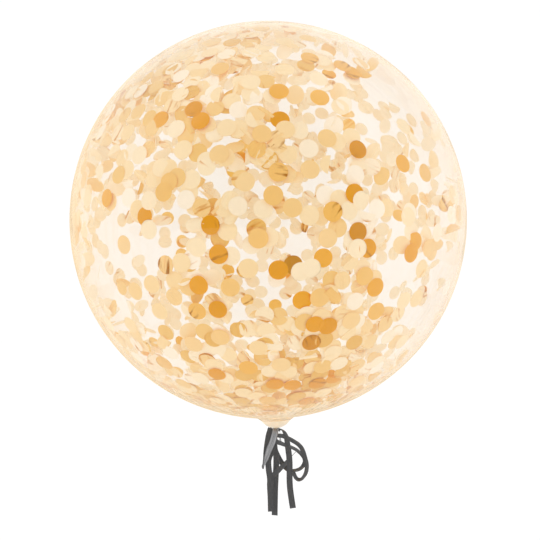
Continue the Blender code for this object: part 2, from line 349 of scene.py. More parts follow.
def sweep_strip(name, places, widths, across, gloss_front=False):
    """A closed satin strip along places, with a UV map in metres: across, and along."""
    across_share, thick, cup = ribbon_section()
    facing = np.cross(directions_along(places), across)
    distances = np.r_[0, np.cumsum(np.linalg.norm(np.diff(places, axis=0), axis=1))]
    columns = len(across_share)
    side = across_share[None, :, None] * widths[:, None, None] / 2 * across[:, None, :]
    bow = cup[None, :, None] * (widths / RIBBON_WIDTH)[:, None, None] * facing[:, None, :]
    skin = thick[None, :, None] / 2 * facing[:, None, :]
    middle = places[:, None, :] + side + bow
    outline = np.concatenate([middle - skin, (middle + skin)[:, ::-1]], axis=1)
    around = 2 * columns
    u_of = np.r_[across_share, across_share[::-1]] * RIBBON_WIDTH / 2
    last_side_is_front = -np.sum(facing[:, 1]) > 0
    glossy_last = last_side_is_front == gloss_front
    faces, sides = [], []
    for ring in range(len(places) - 1):
        low, high = ring * around, (ring + 1) * around
        for slot in range(around):
            after = (slot + 1) % around
            faces.append((low + slot, low + after, high + after, high + slot))
            glossy = (slot >= columns) == glossy_last
            sides.append(GLOSSY_SIDE if glossy else DULL_SIDE)
    last = (len(places) - 1) * around
    for start in (0, last):
        for slot in range(columns - 1):
            quad = (start + slot, start + slot + 1,
                    start + around - 2 - slot, start + around - 1 - slot)
            faces.append(quad if start else quad[::-1])
            sides.append(DULL_SIDE)
    mesh = bpy.data.meshes.new(name)
    mesh.from_pydata(outline.reshape(-1, 3).tolist(), [], faces)
    mesh.polygons.foreach_set("material_index", sides)
    corner = np.concatenate([np.array(face) for face in faces])
    uv = np.column_stack([u_of[corner % around], distances[corner // around]])
    layer = mesh.uv_layers.new(name="strip")
    layer.data.foreach_set("uv", uv.astype(np.float32).ravel())
    return mesh


def face_outwards(mesh):
    """Turn a closed mesh's faces outward."""
    bm = bmesh.new()
    bm.from_mesh(mesh)
    bmesh.ops.recalc_face_normals(bm, faces=bm.faces)
    bm.to_mesh(mesh)
    bm.free()


def smooth(mesh, angle):
    """Shade a mesh smooth where its faces meet at less than an angle, in degrees."""
    mesh.shade_smooth()
    mesh.set_sharp_from_angle(angle=math.radians(angle))
    return mesh


ribbons = {}
for name, (rows, distances) in LINES.items():
    widths = ribbon_widths(name, distances)
    mesh = sweep_strip("satin_" + name, rows[:, :3], widths, turned_widths(rows),
                       gloss_front=name in GLOSSY_FRONT)
    face_outwards(mesh)
    ribbons[name] = in_scene("satin_" + name, smooth(mesh, SATIN_ANGLE))
    print(name, len(mesh.polygons), "faces")

# %% [markdown]
# ## The ribbons join the balloon
#
# Each ribbon is attached to the balloon's body, and the CAD solid it stands in for is hidden. A
# loop goes back into the knot, and a tail ends in a bare cut.

for name, (rows, distances) in LINES.items():
    piece = ribbons[name]
    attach(piece, "root")
    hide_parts(name)
    [tuple(row) for row in rows[:, :3]]
print("ribbons declared:", len(ribbons))

# %% [markdown]
# ## The film's outline
#
# The film is a surface turned about the vertical axis: the cut end of the neck, the waist where
# the ribbon ties it, the funnel, and the ball. The wall is drawn much thicker than real film,
# a quarter of a millimetre, but it is a true wall with an inner and an outer face, so light
# passes through it without being bent out of line, as it does through a soap bubble.

# %% Film outline
FUNNEL = [
    (0.0036, 0.0156), (0.0052, 0.0159), (0.0080, 0.0163), (0.0126, 0.0179),
    (0.0182, 0.0216), (0.0236, 0.0272), (0.0300, 0.0319),
]
NECK = [(0.0042, 0.0), (0.0040, 0.0015), (0.0038, 0.0045), (0.0036, 0.0080), (0.0036, 0.0120)]
FUNNEL_TOP_RADIUS = 0.040
FILM_WALL = 0.00025
FILM_SIDES = 216
BALL_RINGS = 84
FUNNEL_STEPS = 5
NECK_STEPS = 3
CAVITY_FLOOR = 0.0175
GATHERED_TOP = 0.0288


def ball_outline(radius, rings):
    """The ball's outline from where the funnel joins it up to its top point."""
    start = math.asin(FUNNEL_TOP_RADIUS / radius)
    angles = np.linspace(start, math.pi, rings + 1)[1:-1]
    outline = [(radius * math.sin(a), BALL_CENTRE.z - radius * math.cos(a)) for a in angles]
    return [*outline, (0.0, BALL_CENTRE.z + radius)]


def film_outline():
    """Radius and height of the outer face, from the neck's cut end to the top."""
    start = math.asin(FUNNEL_TOP_RADIUS / BALL_RADIUS)
    join = (FUNNEL_TOP_RADIUS, BALL_CENTRE.z - BALL_RADIUS * math.cos(start))
    funnel = smooth_through([*FUNNEL, join], FUNNEL_STEPS)
    neck = smooth_through([*NECK, FUNNEL[0]], NECK_STEPS)[:-1]
    return [*map(tuple, neck), *map(tuple, funnel), *ball_outline(BALL_RADIUS, BALL_RINGS)]


def inset(outline, wall):
    """The outline moved inwards by the wall, square to itself."""
    line = np.array(outline)
    slope = np.gradient(line, axis=0)
    slope /= np.linalg.norm(slope, axis=1, keepdims=True)
    inner = line + wall * np.column_stack([-slope[:, 1], slope[:, 0]])
    inner[-1] = (0.0, line[-1, 1] - wall)
    return inner


OUTER = film_outline()
print(len(OUTER), "rings from", round(OUTER[0][1], 4), "to", round(OUTER[-1][1], 4))

# %% [markdown]
# ## Pleats where the neck is gathered
#
# A tied neck is a flat tube of film squeezed into a bundle, so folds run out of the tie and fade
# away up the funnel, and the short end below the tie spreads into a few fat folds. The outline is
# pushed inwards by a sum of waves round the axis. The waves have odd, unequal counts, which keeps
# the folds from looking machined.

# %% Turn the film
TWO_PI = 2 * math.pi
FILM_ANGLE = 60
PLEAT_WAVES = [(11, 0.5, 0.3), (17, 0.3, 1.9), (23, 0.2, 4.1)]
PLEAT_FADE = 0.030
STUB_PLEATS = 0.26
FUNNEL_PLEATS = 0.10


def pleat(angle):
    """Depth of the gathers round the axis, from 0 on the crests to 1 in the grooves."""
    wave = sum(share * np.cos(count * angle + shift) for count, share, shift in PLEAT_WAVES)
    return np.clip(0.5 - 0.5 * wave, 0, 1)


def pleated_ring(radius, height, angles):
    """One ring of the film, drawn in by the pleats near the tie."""
    if height < FUNNEL[0][1]:
        depth = STUB_PLEATS
    else:
        depth = FUNNEL_PLEATS * math.exp(-((radius / PLEAT_FADE) ** 2))
    around = radius * (1 - depth * pleat(angles))
    return np.column_stack([around * np.cos(angles), around * np.sin(angles),
                            np.full(len(angles), height)])


def add_skin(bm, rings, top):
    """Faces from ring to ring up to a closed top point: the lowest ring and the faces."""
    rings = [[bm.verts.new(corner) for corner in ring] for ring in rings]
    tip = bm.verts.new((0, 0, top))
    faces = []
    for side in range(len(rings[0])):
        after = (side + 1) % len(rings[0])
        for lower, upper in zip(rings, rings[1:]):
            faces.append(bm.faces.new((lower[side], lower[after], upper[after], upper[side])))
        faces.append(bm.faces.new((rings[-1][side], rings[-1][after], tip)))
    return rings[0], faces


def add_shell(bm, outline, outward):
    """Turn an outline into a closed skin of pleated film that faces outwards or inwards."""
    angles = np.arange(FILM_SIDES) * TWO_PI / FILM_SIDES
    rings = [pleated_ring(radius, height, angles) for radius, height in outline[:-1]]
    lowest, faces = add_skin(bm, rings, outline[-1][1])
    foot = bm.verts.new((0, 0, outline[0][1]))
    for side in range(FILM_SIDES):
        faces.append(bm.faces.new((lowest[(side + 1) % FILM_SIDES], lowest[side], foot)))
    if not outward:
        bmesh.ops.reverse_faces(bm, faces=faces)


def mesh_from(bm, name):
    """A mesh of what was built."""
    mesh = bpy.data.meshes.new(name)
    bm.to_mesh(mesh)
    bm.free()
    return mesh


def build_film():
    """Outer skin, and the cavity's skin facing the other way, as one piece of film."""
    bm = bmesh.new()
    add_shell(bm, OUTER, outward=True)
    inner = [point for point in inset(OUTER, FILM_WALL) if point[1] > CAVITY_FLOOR or point[0] == 0]
    add_shell(bm, inner, outward=False)
    mesh = mesh_from(bm, "balloon_film")
    for face in mesh.polygons:
        face.material_index = int(face.center.z < GATHERED_TOP)
    return in_scene("balloon_film", smooth(mesh, FILM_ANGLE))


film = build_film()
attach(film, "root")
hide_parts("bubble_film")
print("film:", len(film.data.polygons), "faces")

# %% [markdown]
# ## The knot
#
# The neck is shut by ribbon wound round it three times and pulled tight, which crushes the ribbon
# to about half its width. The windings are one spiral strip. From them a short lead runs to the
# root of every loop and tail, so that each ribbon really starts at the tie, and a small
# overhand knot sits on the front and another on the back. A trefoil curve is the path of such a
# knot.

# %% Wind the ribbon round the neck
TIE_MIDDLE = 0.0128
WRAP_START, WRAP_END = 0.00385, 0.00470
WRAP_TURNS = 3.2
WRAP_WIDTH = 0.0044
WINDING_SECTIONS = 200


def upright(places, wish):
    """Width directions that follow a wished direction but stay square to the path."""
    along = directions_along(places)
    wish = np.broadcast_to(wish, places.shape)
    across = wish - along * np.sum(along * wish, axis=1, keepdims=True)
    return across / np.linalg.norm(across, axis=1, keepdims=True)


def winding():
    """The spiral of ribbon round the neck, rising and falling a little as it goes."""
    turn = np.linspace(0, TWO_PI * WRAP_TURNS, WINDING_SECTIONS)
    radius = np.linspace(WRAP_START, WRAP_END, len(turn))
    height = TIE_MIDDLE + 0.00035 * np.sin(turn * 0.9 + 0.8) + 0.0002 * np.sin(turn * 2.7)
    places = np.column_stack([radius * np.cos(turn), radius * np.sin(turn), height])
    widths = WRAP_WIDTH * (1 + 0.08 * np.sin(turn * 1.3))
    return sweep_strip("winding", places, widths, upright(places, (0, 0, 1)))


windings = winding()
print("windings:", len(windings.polygons), "faces")

# %% [markdown]
# ## Leads and small knots
#
# A lead runs along a Bezier curve, from the windings out to a ribbon's root, and arrives there
# in the ribbon's own direction, so that no gap or kink shows where the two meet. The small knots
# are crushed ribbon along a trefoil.

# %% Leads and overhand knots
LEAD_WIDTH = RIBBON_WIDTH * PINCHED_SHARE
KNOT_CENTRES = [((-0.0028, -0.0060, 0.0082), 0.4), ((-0.0022, 0.0066, 0.0074), 2.1)]
KNOT_SCALE = 0.00105
KNOT_WIDTH = 0.0021
LEAD_SECTIONS, KNOT_SECTIONS = 16, 121
START_PULL_OUT, START_PULL_DOWN, ROOT_PULL = 0.002, 0.001, 0.0018


def lead(root, away, across):
    """A short crushed strip from the windings to a ribbon's root."""
    root = np.array(root)
    flat = root[:2] / np.linalg.norm(root[:2])
    start = np.array([*(flat * WRAP_END), TIE_MIDDLE])
    share = np.linspace(0, 1, LEAD_SECTIONS)[:, None]
    pull = np.array([*(flat * START_PULL_OUT), -START_PULL_DOWN])
    places = (
        start * (1 - share) ** 3
        + 3 * (start + pull) * share * (1 - share) ** 2
        + 3 * (root - away * ROOT_PULL) * share**2 * (1 - share)
        + root * share**3
    )
    wish = np.array([0, 0, 1.0]) * (1 - share) + across * np.sign(across[2] or 1) * share
    return sweep_strip("lead", places, np.full(len(places), LEAD_WIDTH), upright(places, wish))


def overhand(centre, tilt):
    """A small knot of crushed ribbon: a strip along a trefoil, its face turned outwards."""
    t = np.linspace(0, TWO_PI, KNOT_SECTIONS)
    curve = np.column_stack([
        np.sin(t) + 2 * np.sin(2 * t), 0.8 * np.sin(3 * t), np.cos(t) - 2 * np.cos(2 * t)
    ])
    turn = np.array([[math.cos(tilt), 0, math.sin(tilt)], [0, 1, 0],
                     [-math.sin(tilt), 0, math.cos(tilt)]])
    places = np.array(centre) + KNOT_SCALE * curve @ turn.T
    across = upright(places, np.cross(directions_along(places), curve @ turn.T))
    return sweep_strip("overhand", places, np.full(len(t), KNOT_WIDTH), across, gloss_front=True)


parts = [windings]
for name, (rows, _) in LINES.items():
    along, across = directions_along(rows[:, :3]), turned_widths(rows)
    parts.append(lead(rows[0, :3], along[0], across[0]))
    if "loop" in name:
        parts.append(lead(rows[-1, :3], -along[-1], across[-1]))
parts += [overhand(centre, tilt) for centre, tilt in KNOT_CENTRES]
print("parts of the knot:", len(parts))

# %% [markdown]
# ## One piece
#
# The knot is one thing to the hand, so its parts are joined into one mesh, and each keeps its
# own UV map and its two sides.

# %% Tie the knot


def join(name, meshes):
    """One mesh holding several, their UV maps kept."""
    bm = bmesh.new()
    for mesh in meshes:
        bm.from_mesh(mesh)
        bpy.data.meshes.remove(mesh)
    return mesh_from(bm, name)


knot_mesh = join("ribbon_knot", parts)
face_outwards(knot_mesh)
knot = in_scene("ribbon_knot", smooth(knot_mesh, SATIN_ANGLE))
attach(knot, "root")
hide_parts("ribbon_tie")
print("knot:", len(knot.data.polygons), "faces")

# %% [markdown]
# ## Confetti discs
#
# Confetti is punched from paper and foil in discs 25 mm across. Most lie flat on the film; some
# are curled, creased or folded by handling. The discs here are cut into strips by parallel
# chords, so they can bend about one direction, and each has a front, a back and a rim, which
# makes it a closed solid of a few dozen faces. A handful of shapes is enough, since every disc
# also gets its own turn, lean and tone.

# %% Bends of a disc
DISC_RADIUS = 0.0125


def curled(depth):
    return lambda x: depth * x * x


def creased(fold, place=0.0):
    return lambda x: fold * abs(x - place)


def waved(depth, count):
    return lambda x: depth * (1 - math.cos(count * math.pi * x)) / 2


def flapped(place, rise):
    return lambda x: max(0.0, x - place) * rise


# Flat discs first: the tree below picks low numbers most often.
DISC_BENDS = [
    curled(0.0), curled(0.0), curled(0.03), creased(0.06), curled(0.10), flapped(0.25, 0.55),
    creased(0.30), waved(0.10, 3), creased(0.85, 0.15), flapped(0.1, 2.2), waved(0.16, 4.2),
    curled(0.55),
]


print(len(DISC_BENDS), "bends")

# %% [markdown]
# ## One disc
#
# The front's corners lie on a circle and are joined by strips, square to the direction of the
# bend; the back repeats them, and the rim joins the two. A flat map of the disc is kept for the
# streaks of the finish, and a value marks the reverse side.

# %% Make the disc shapes
DISC_THICKNESS = 0.00012
DISC_CORNERS = 20
DISC_ANGLE = 35
STEEPEST_STEP = 0.15


def set_values(mesh, name, values, domain="POINT"):
    """Keep a value for each corner or each face of a mesh under a name."""
    layer = mesh.attributes.new(name, "FLOAT", domain)
    layer.data.foreach_set("value", np.array(values, np.float32))


def disc_mesh(name, bend):
    """A thin disc in chord strips; bend gives the rise, in radii, at x from -1 to 1."""
    angles = [TWO_PI * corner / DISC_CORNERS for corner in range(DISC_CORNERS)]
    line = [(math.cos(a), math.sin(a)) for a in angles]
    # Bending uses up length: walk along the bent line so that the paper isn't stretched.
    columns = sorted({round(x, 6) for x, _ in line})
    bent = {columns[0]: (0.0, bend(columns[0]))}
    for before, after in zip(columns, columns[1:]):
        step, rise = after - before, bend(after) - bend(before)
        run = math.sqrt(max(step * step - rise * rise, (step * STEEPEST_STEP) ** 2))
        x = bent[before][0] + run
        bent[after] = (x, bent[before][1] + math.copysign(math.sqrt(step**2 - run**2), rise))
    middle = sum(x for x, _ in bent.values()) / len(bent)
    low = min(rise for _, rise in bent.values())
    corners = []
    for side in (1, -1):
        for x, y in line:
            across, rise = bent[round(x, 6)]
            depth = -(rise - low) * DISC_RADIUS + side * DISC_THICKNESS / 2
            corners.append(((across - middle) * DISC_RADIUS, y * DISC_RADIUS, depth))
    faces = []
    for strip in range(DISC_CORNERS // 2):
        a, b = strip, strip + 1
        c, d = (DISC_CORNERS - strip - 1) % DISC_CORNERS, (DISC_CORNERS - strip) % DISC_CORNERS
        front = list(dict.fromkeys((a, b, c, d)))
        faces.append(front)
        faces.append([corner + DISC_CORNERS for corner in reversed(front)])
    for corner in range(DISC_CORNERS):
        after = (corner + 1) % DISC_CORNERS
        faces.append([after, corner, corner + DISC_CORNERS, after + DISC_CORNERS])
    mesh = bpy.data.meshes.new(name)
    mesh.from_pydata(corners, [], faces)
    spread = mesh.uv_layers.new(name="spread")
    for loop in mesh.loops:
        spread.uv[loop.index].vector = line[loop.vertex_index % DISC_CORNERS]
    set_values(mesh, "reverse", [min(face) >= DISC_CORNERS for face in faces], "FACE")
    return mesh


def make_disc_shapes():
    """The disc shapes as a collection that isn't part of the scene itself."""
    shapes = bpy.data.collections.new("disc_shapes")
    for number, bend in enumerate(DISC_BENDS):
        mesh = disc_mesh(f"disc_{number:02d}", bend)
        face_outwards(mesh)
        shapes.objects.link(bpy.data.objects.new(mesh.name, smooth(mesh, DISC_ANGLE)))
    return shapes


disc_shapes = make_disc_shapes()

# %% [markdown]
# ## Where the confetti clings
#
# Static holds the discs wherever they touched the film as the ball was filled and turned, so they
# are neither even nor in rows: there are crowded drifts and nearly bare windows. The inside of
# the ball is given a "cover" value at each corner, one plus or minus a few soft round patches,
# each set by longitude from the front, latitude, radius in degrees and gain.

# %% Cover on the inner surface
PATCHES = [
    (-20, 26, 26, 0.5), (-144, 44, 30, 0.5), (1, 14, 24, 0.3), (178, 29, 24, 0.3),
    (56, 33, 22, -0.8), (90, 39, 22, -0.7), (97, 10, 22, -0.4), (58, -30, 20, -0.8),
    (92, -36, 24, -0.8), (-48, -1, 14, -0.7), (-108, 2, 18, -0.6), (-98, -24, 18, -0.6),
    (6, -52, 22, 0.4), (167, -66, 26, 0.4), (18, -37, 18, 0.3), (151, -46, 24, 0.3),
    (-35, 38, 18, 0.4), (-10, 50, 26, 0.3), (41, 5, 9, -0.5), (30, 26, 9, -0.6), (4, -9, 8, -0.7),
    (1, -20, 7, -0.8), (10, 27, 8, -0.8), (43, 50, 12, -0.7), (38, 9, 9, -0.5), (-9, 4, 7, -0.6),
    (9, 4, 7, -0.6), (50, 4, 9, -0.6), (-28, -4, 8, -0.7), (-46, -13, 12, -0.8), (9, -13, 7, -0.6),
    (-1, 17, 7, 0.8), (10, -39, 13, 0.8), (0, -62, 30, 0.9), (180, -62, 30, 0.6),
    (0, -88, 28, 1.4), (-50, -8, 15, -0.6), (-130, -12, 18, -0.5), (52, -22, 14, -0.6),
    (128, -22, 18, -0.5), (48, 40, 14, -0.5), (-52, -28, 14, -0.4),
]
HOST_RINGS = 64
HOST_SIDES = 128
CLUMP_SCALES = [(5.0, 0.9), (11.0, 0.7)]
LEAST_COVER, MOST_COVER = 0.03, 2.8


def direction(longitude, latitude):
    """The unit direction from the ball's middle; longitude 0 is the front, 90 the right."""
    lon, lat = math.radians(longitude), math.radians(latitude)
    return Vector((math.cos(lat) * math.sin(lon), -math.cos(lat) * math.cos(lon), math.sin(lat)))


def build_host():
    """The ball's inner surface with the cover value, for the discs to be scattered on."""
    bm = bmesh.new()
    outline = ball_outline(BALL_RADIUS - FILM_WALL, HOST_RINGS)
    angles = np.arange(HOST_SIDES) * TWO_PI / HOST_SIDES
    rings = [[(r * math.cos(a), r * math.sin(a), z) for a in angles] for r, z in outline[:-1]]
    add_skin(bm, rings, outline[-1][1])
    mesh = mesh_from(bm, "confetti_host")
    mesh.shade_smooth()
    corners = np.array([v.co - BALL_CENTRE for v in mesh.vertices])
    corners /= np.linalg.norm(corners, axis=1, keepdims=True)
    value = np.ones(len(corners))
    for longitude, latitude, radius, gain in PATCHES:
        apart = np.degrees(np.arccos(np.clip(corners @ direction(longitude, latitude), -1, 1)))
        value += gain * np.exp(-((apart / radius) ** 2))
    for scale, gain in CLUMP_SCALES:
        value += gain * np.array([wobble(Vector(corner) * scale) for corner in corners])
    set_values(mesh, "cover", np.clip(value, LEAST_COVER, MOST_COVER))
    return mesh


host_mesh = build_host()
print("host:", len(host_mesh.vertices), "corners")

# %% [markdown]
# ## Discs laid one by one
#
# The strong gold foil discs are what the eye counts, so most are laid one by one: longitude,
# latitude and tone. On the near side they lie against the film, outside the paper; on the far
# side they are lifted over it, so that there too no paper hides them. A few paper discs are laid
# over the gold ones, which leaves crescents of them. The "calm" value keeps laid discs nearly
# flat: in the tree below it makes strong bends rare and rules out a loose lean.

# %% Lay some discs one by one
GOLD_SPOTS = [
    (4.4, 30.4, 0.62), (15.7, 28.4, 0.58), (30.1, 37.7, 0.6), (27.5, 40, 0.55), (135.7, 57.6, 0.6),
    (35.9, 38.9, 0.54), (23.5, 14.1, 0.86), (36.8, 10.9, 0.62), (45, 8.9, 0.5), (21.3, 3.2, 0.8),
    (139.1, 8.8, 0.66), (21.9, -5.9, 0.92), (24.7, -9.9, 0.78), (15.5, -1, 0.55),
    (13, -11.9, 0.66), (5.6, -13.3, 1), (2, -14.4, 0.8), (-2.5, -6.7, 0.5), (-12.3, -10.1, 0.78),
    (-13.8, -3.1, 0.82), (-31.5, -0.1, 0.76), (-45.2, 5.5, 0.62), (-24.4, 7.8, 0.45),
    (-25.8, 5.5, 0.5), (-145.6, 31.8, 0.66), (-159.3, 27.8, 0.68), (-17, 23, 0.72),
    (-19.5, 26.6, 0.82), (1.4, 3.2, 0.48), (2.8, 8.7, 0.52), (-2.1, 14.6, 0.5), (-0.8, 18.4, 0.3),
    (-168.5, 9.2, 0.6), (-20.2, -24.2, 0.55), (-14.3, -23.9, 0.8), (-18.4, -17.5, 0.72),
    (-164.2, -14.1, 0.75), (-169.9, -14.3, 0.6), (-20.8, -44.5, 0.76), (0.2, -49.2, 0.74),
    (7.1, -49.9, 0.72), (11.6, -34.4, 0.9), (11.9, -29, 0.72), (15.8, -29.7, 0.8),
    (28.3, -19.8, 0.66), (24.5, -16.8, 0.5), (16.2, -21.6, 0.45), (30.2, -26.3, 0.54),
    (39.9, -8.5, 0.66), (38.7, -11.4, 0.7), (45.5, -10.2, 0.15), (23.6, -48.6, 0.72),
    (16.9, -59.6, 0.76), (-3.4, -57.5, 0.5), (17.6, -49.9, 0.78), (-5, -69, 0.7),
    (-8.6, -42.1, 0.58), (-24.5, -33.9, 0.05), (-40.6, -40.5, 0.5), (-26.7, -12.1, 0.25),
    (-39.2, -6.6, 0.05), (-158.3, 63.9, 0.9), (16.6, 42.8, 0.55), (54.8, 24.8, 0.5),
    (111.9, 30.2, 0.45), (-13.8, 39.4, 0.42), (-10.2, -18.3, 0.42), (-15.3, -31.8, 0.28),
    (177.3, 42.5, 0.5),
]
PAPER_SPOTS = [
    (-17.7, -2.9), (23, 1.5), (7.4, -15), (21.9, -9.9), (-9.4, -10.7), (-30.1, 3.7), (-30.4, -3.3),
    (10.1, -14.2),
]
PAPER_SPOT_TONE = 0.3
NEAR_LIFT = 0.0008
FAR_LIFT = 0.0042
COVER_LIFT = 0.0003
CALM = 3.0


def laid_points(name, rows):
    """A mesh of loose points, each with the facing, tone and lift of the disc laid there."""
    places, facings, tones, lifts = zip(*rows)
    mesh = bpy.data.meshes.new(name)
    mesh.from_pydata([tuple(place) for place in places], [], [])
    facing = mesh.attributes.new("facing", "FLOAT_VECTOR", "POINT")
    facing.data.foreach_set("vector", np.array(facings, np.float32).ravel())
    for attribute, values in (("tone", tones), ("lift", lifts), ("calm", [CALM] * len(rows))):
        set_values(mesh, attribute, values)
    return bpy.data.objects.new(name, mesh)


def laid_rows(spots, near_lift):
    """Each disc's place on the film, the way it faces, its tone and its lift."""
    rows = []
    for longitude, latitude, tone in spots:
        out = direction(longitude, latitude)
        lift = near_lift if out.y < 0 else FAR_LIFT
        rows.append((BALL_CENTRE + out * (BALL_RADIUS - FILM_WALL), out, tone, lift))
    return rows


laid_gold = laid_points("laid_gold", laid_rows(GOLD_SPOTS, NEAR_LIFT))
paper_spots = [(*spot, PAPER_SPOT_TONE) for spot in PAPER_SPOTS]
laid_paper = laid_points("laid_paper", laid_rows(paper_spots, COVER_LIFT))
print(len(GOLD_SPOTS), "gold and", len(PAPER_SPOTS), "paper discs laid by hand")

# %% [markdown]
# ## Helpers for node trees
#
# The trees for the confetti, the finishes and the studio are drawn with the same few helpers. One
# adds a node, sets it up and feeds its inputs, each with a link or a plain value. A node also has
# sockets that its settings switch off, so a name means the first socket that is switched on.

# %% Node helpers
# Every tree that is built, to be set out in columns at the end.
TREES = []
COLUMN_WIDTH, ROW_HEIGHT = 200, 180


def chosen_socket(sockets, key):
    """A socket by its number, or else the first with the name, or any name, that is on."""
    if isinstance(key, int):
        return sockets[key]
    return next(s for s in sockets if s.enabled and key in (None, s.name))


def feed(tree, socket, source):
    """Link a socket to another node's output, or give it a plain value."""
    if isinstance(source, bpy.types.NodeSocket):
        tree.links.new(source, socket)
    else:
        socket.default_value = (*source[:3], 1) if socket.type == "RGBA" else source


def node(tree, kind, inputs=(), output=None, **settings):
    """Add a node, set it up, feed its inputs, and hand back one of its outputs."""
    made = tree.nodes.new(kind)
    for setting, value in settings.items():
        setattr(made, setting, value)
    for key, source in dict(inputs).items():
        feed(tree, chosen_socket(made.inputs, key), source)
    return chosen_socket(made.outputs, output)


def calc(tree, operation, *values):
    """The result of one operation on numbers."""
    return node(tree, "ShaderNodeMath", enumerate(values), operation=operation)


def vector_of(tree, *values):
    """A vector from its X, Y and Z; one that is left out is nought."""
    return node(tree, "ShaderNodeCombineXYZ", enumerate(values))


def scaled(tree, vector, factor):
    """A vector or a colour times a number."""
    return node(tree, "ShaderNodeVectorMath", {0: vector, "Scale": factor}, operation="SCALE")


def new_group(name, kind, inputs, outputs):
    """A node group with named inputs and outputs: the group, and the sockets of both ends."""
    group = bpy.data.node_groups.new(name, kind)
    for label, socket_kind, value in inputs:
        socket = group.interface.new_socket(label, in_out="INPUT",
                                            socket_type="NodeSocket" + socket_kind)
        if value is not None:
            socket.default_value = value
    for label, socket_kind in outputs:
        group.interface.new_socket(label, in_out="OUTPUT", socket_type="NodeSocket" + socket_kind)
    TREES.append(group)
    start, end = group.nodes.new("NodeGroupInput"), group.nodes.new("NodeGroupOutput")
    return group, start.outputs, end.inputs


def arrange(tree):
    """Place each node in a column by how many links lie between it and the tree's end."""
    steps = {made: 0 for made in tree.nodes}
    for _ in range(len(tree.nodes)):
        for link in tree.links:
            steps[link.from_node] = max(steps[link.from_node], steps[link.to_node] + 1)
    filled = {}
    for made, column in steps.items():
        filled[column] = filled.get(column, 0) + 1
        made.location = (-COLUMN_WIDTH * column, -ROW_HEIGHT * filled[column])


print("node helpers ready")

# %% [markdown]
# ## A node tree that lays confetti
#
# Geometry Nodes do the laying, which suits a thing that is repeated two thousand times: points
# are scattered on the host by its cover, the listed points join them, and a disc shape is put
# on each point, turned to the film, leaned by a few degrees and lifted off the film by its share
# of the layers. The same tree serves the paper and the foil with other inputs. The first part
# strews the points. Where the cover is thick the tone is deepened: a painted shade of the crowded
# layers, for the light that paper over paper holds back.

# %% Strew the points
CONFETTI_INPUTS = [
    ("Host", "Geometry", None), ("Laid By Hand", "Object", None),
    ("Disc Shapes", "Collection", None), ("Discs Per Square Metre", "Float", 1000.0),
    ("Seed", "Int", 1), ("Least Lift", "Float", 0.0008), ("Most Lift", "Float", 0.0040),
    ("Small Lean", "Float", 0.05), ("Loose Share", "Float", 0.08), ("Least Tone", "Float", 0.0),
    ("Most Tone", "Float", 1.0), ("Deepening", "Float", 0.15), ("Shape Bias", "Float", 2.0),
    ("Disc Radius", "Float", DISC_RADIUS), ("Finish", "Material", None),
]
SEED_STEP = 101.0
DEEP_COVER = 1.2


def named(tree, attribute, data_type="FLOAT"):
    """A value that points carry, by its name."""
    return node(tree, "GeometryNodeInputNamedAttribute", {"Name": attribute}, data_type=data_type)


def keep(tree, geometry, attribute, value, data_type="FLOAT"):
    """Store a value on points under a name."""
    return node(tree, "GeometryNodeStoreNamedAttribute",
                {"Geometry": geometry, "Name": attribute, "Value": value},
                data_type=data_type, domain="POINT")


def drawer(tree, given):
    """A maker of random numbers, one for each disc; every draw has a seed of its own."""
    index = node(tree, "GeometryNodeInputIndex")

    def draw(number, low, high):
        seed = calc(tree, "ADD", given["Seed"], number * SEED_STEP)
        return node(tree, "FunctionNodeRandomValue",
                    {"Min": low, "Max": high, "ID": index, "Seed": seed}, data_type="FLOAT")

    return draw


def strewn_points(tree, given, draw):
    """Points scattered on the host by its cover, joined by the listed points."""
    density = calc(tree, "MULTIPLY", given["Discs Per Square Metre"], named(tree, "cover"))
    scatter = node(tree, "GeometryNodeDistributePointsOnFaces",
                   {"Mesh": given["Host"], "Density": density, "Seed": given["Seed"]},
                   distribute_method="RANDOM").node.outputs
    points = keep(tree, scatter["Points"], "facing", scatter["Normal"], "FLOAT_VECTOR")
    lift = draw(1, given["Least Lift"], given["Most Lift"])
    tone = draw(2, given["Least Tone"], given["Most Tone"])
    # Painted shade: where the cover is thick, the tone deepens as stacked thin paper holds back
    # light.
    extra = calc(tree, "MAXIMUM", calc(tree, "SUBTRACT", named(tree, "cover"), DEEP_COVER), 0.0)
    tone = calc(tree, "ADD", tone, calc(tree, "MULTIPLY", given["Deepening"], extra))
    points = keep(tree, points, "tone", calc(tree, "MINIMUM", tone, 1.0))
    points = keep(tree, points, "lift", lift)
    laid = node(tree, "GeometryNodeObjectInfo", {"Object": given["Laid By Hand"]}, "Geometry",
                transform_space="ORIGINAL")
    by_hand = node(tree, "GeometryNodeMeshToPoints", {"Mesh": laid})
    joined = node(tree, "GeometryNodeJoinGeometry", {0: by_hand})
    feed(tree, joined.node.inputs[0], points)
    return joined


print("value names on the points: facing, tone, lift and calm")

# %% [markdown]
# ## How a disc lies
#
# Most discs lean by less than three degrees, because static holds them down; a loose one stands
# off the film on one edge. A leaning disc is moved in by its own reach, so that its edge never
# cuts the film. It is turned by three rotations, one inside the other: its face to the film, the
# lean about a hinge in its own plane, and a spin, which decides where its bend lies.

# %% Lean and turn the discs
LOOSE_LEAN = (0.25, 1.45)


def leaning(tree, given, draw, calm):
    """Each disc's lean: a small one for most, a large one for a loose disc."""
    small = draw(3, calc(tree, "MULTIPLY", given["Small Lean"], -1.0), given["Small Lean"])
    large = draw(4, *LOOSE_LEAN)
    is_loose = calc(tree, "LESS_THAN", calc(tree, "ADD", draw(5, 0.0, 1.0), calm),
                    given["Loose Share"])
    return calc(tree, "ADD", calc(tree, "MULTIPLY", large, is_loose),
                calc(tree, "MULTIPLY", small, calc(tree, "SUBTRACT", 1.0, is_loose)))


